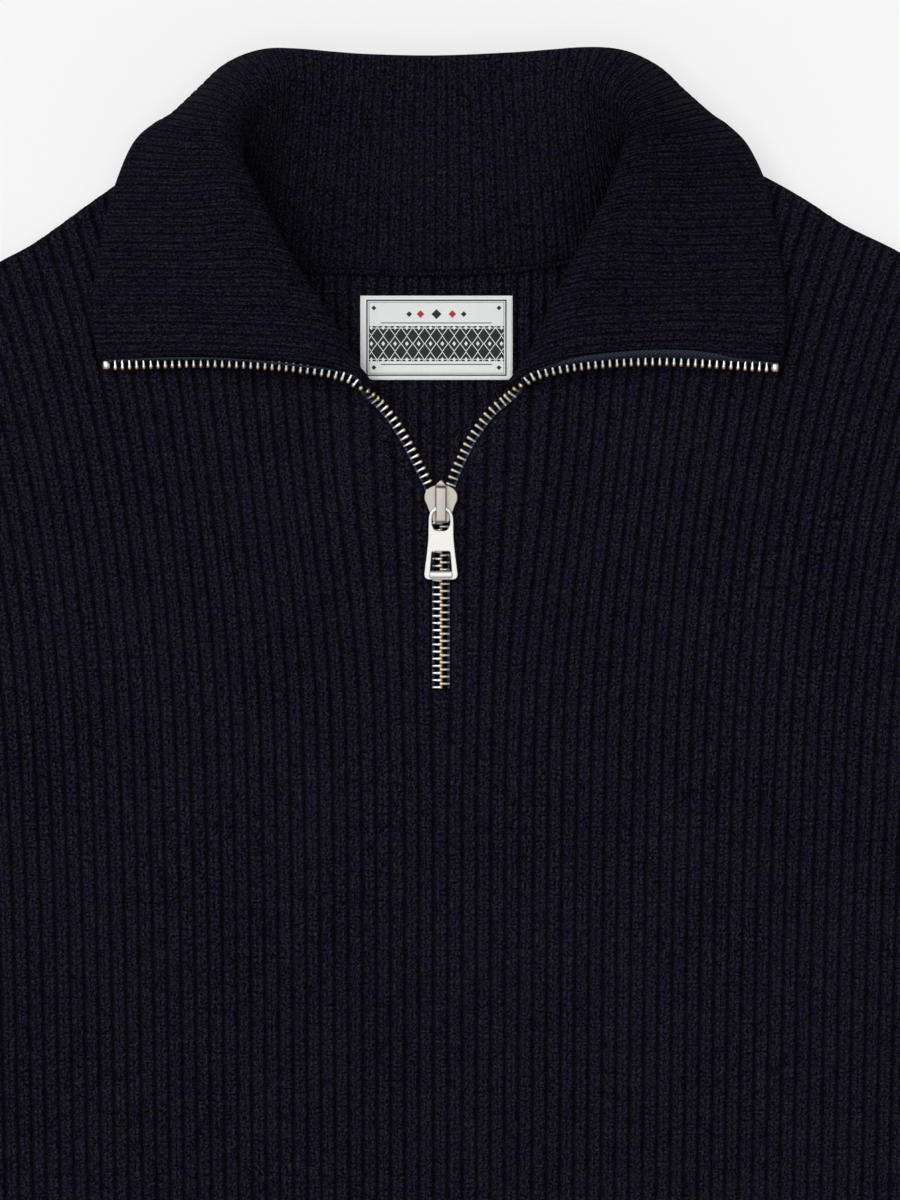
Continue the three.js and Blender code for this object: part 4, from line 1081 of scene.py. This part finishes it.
def woven_label():
    """White satin with its ornament in black and red, drawn in millimetres from the middle."""
    material, start, shader = new_material("woven_label")
    place = start.place()
    x = (place.axis(0) - LABEL_MIDDLE.x) * 1000
    y = (place.axis(1) - LABEL_MIDDLE.y) * 1000
    half_x, half_y = LABEL_SIZE.x * 500, LABEL_SIZE.y * 500
    inside = (half_x - abs(x) - 0.9).math("MINIMUM", half_y - abs(y))
    frame_lines = inside.within(1.75, 2.35) + inside.within(2.8, 3.1) * 0.7
    from_panel, from_spots = abs(y + PANEL_DROP), abs(y - SPOT_RISE)
    panel = abs(x).ease(half_x - 3.9, half_x - 4.0) * from_panel.ease(7.8, 7.7)
    lozenge_x, lozenge_y = (x / 5.2).part() - 0.5, ((y + PANEL_DROP) / 7.0 + 0.5).part() - 0.5
    spread = abs(lozenge_x) + abs(lozenge_y)
    lattice = spread.within(0.44, 0.52) + (1 - spread.above(0.16))
    edge_line = from_panel.within(6.7, 7.0)
    dark_rule = from_panel.within(8.9, 9.3) * (1 - abs(x).above(half_x - 9))
    accent = 1 - (abs(abs(x) - 7) + from_spots).above(1.7)
    spots = (1 - (abs(x) + from_spots).above(2.2)) + (1 - (abs(abs(x) - 12) + from_spots).above(1.3))
    corner = 1 - (abs(abs(x) - half_x + 6) + abs(abs(y) - half_y + 5.4)).above(1.1)
    ink = (frame_lines + dark_rule + spots + corner
           + panel * (1 - lattice * 0.92) * (1 - edge_line * 0.9)).clamped()
    weave = (x * 4.2).wave() * 0.25 + (y * 6.0).wave() * 0.5 + place.noise(2200, 2)
    ground = (weave * 0.35 + 0.4).clamped()
    white = ground.mix((0.62, 0.64, 0.635, 1), (0.84, 0.86, 0.85, 1))
    black = ground.mix((0.004, 0.004, 0.005, 1), (0.018, 0.018, 0.021, 1))
    color = accent.mix(ink.mix(white, black), (0.42, 0.02, 0.03, 1))
    set_surface(shader, Base_Color=color, Roughness=0.55, Specular_IOR_Level=0.3,
                Normal=weave.bump(0.35, 0.0002), Sheen_Weight=0.15, Sheen_Roughness=0.3,
                Sheen_Tint=(1, 1, 1, 1))
    return material


LABEL_THICK = 0.0006


def make_label():
    columns, rows = 60, 34
    across, up = np.meshgrid(np.linspace(-0.5, 0.5, columns), np.linspace(-0.5, 0.5, rows))
    x = LABEL_MIDDLE.x + across * LABEL_SIZE.x - MIDDLE
    y = LABEL_MIDDLE.y + up * LABEL_SIZE.y - NECK_LINE
    base = LABEL_LOW.z - 0.0002
    near = np.minimum((0.5 - abs(across)) * LABEL_SIZE.x, (0.5 - abs(up)) * LABEL_SIZE.y)
    ripple = 0.00022 * np.sin(19 * across + 2) * np.cos(7 * up) * smoothstep(near, 0, 0.008)
    sewn = 0.00022 * np.exp(-((near - 0.0012) / 0.0006) ** 2)
    bm = bmesh.new()
    lay_grid(bm, x, y, base + LABEL_THICK + ripple - sewn, across, up)
    close_flat(bm, base - 0.0004)
    label = make_piece("label_cloth", bm, woven_label(), replaces=["neck_label"])


make_label()

# ---- Ground, light and camera ----
# The sweater lies on a plain pale sheet, in soft light from above and from its upper left, and is
# seen from straight above.
ground_material, _, shader = new_material("pale_ground")
set_surface(shader, Base_Color=(0.30, 0.30, 0.30, 1), Roughness=0.9, Specular_IOR_Level=0.0,
            Emission_Color=(1, 1, 1, 1), Emission_Strength=0.605)
bm = bmesh.new()
bmesh.ops.create_grid(bm, x_segments=1, y_segments=1, size=12, matrix=Matrix.Translation((0, 0, -0.0005)))
ground = add_object("ground", bm, ground_material)

world = bpy.data.worlds.new("studio")
world.use_nodes = True
sky = world.node_tree.nodes["Background"].inputs
sky["Color"].default_value = (1, 1, 1, 1)
sky["Strength"].default_value = 0.42
bpy.context.scene.world = world
LAMPS = {
    # name: direction that it shines from, energy, and how wide it looks in degrees
    "softbox": ((-0.12, 0.16, 1.0), 1.35, 75),
    "window": ((-0.75, 0.62, 1.0), 0.95, 28),
}
for name, (direction, energy, width) in LAMPS.items():
    lamp = bpy.data.lights.new(name, "SUN")
    lamp.energy = energy
    lamp.angle = math.radians(width)
    stand(name, lamp).matrix_world = Vector(direction).to_track_quat("Z", "Y").to_matrix().to_4x4()

VIEW_HEIGHT = 0.528  # how much of the garment the picture takes in, from top to bottom
VIEW_MIDDLE = (MIDDLE + 0.00396, NECK_LINE - 0.1443)
optics = bpy.data.cameras.new("camera")
optics.lens = 400
optics.sensor_width = 36
distance = VIEW_HEIGHT * optics.lens / optics.sensor_width
optics.clip_start = 0.05
optics.clip_end = 100
camera = stand("camera", optics)
camera.location = (*VIEW_MIDDLE, distance)
bpy.context.scene.camera = camera
bpy.context.scene.view_settings.view_transform = "Standard"
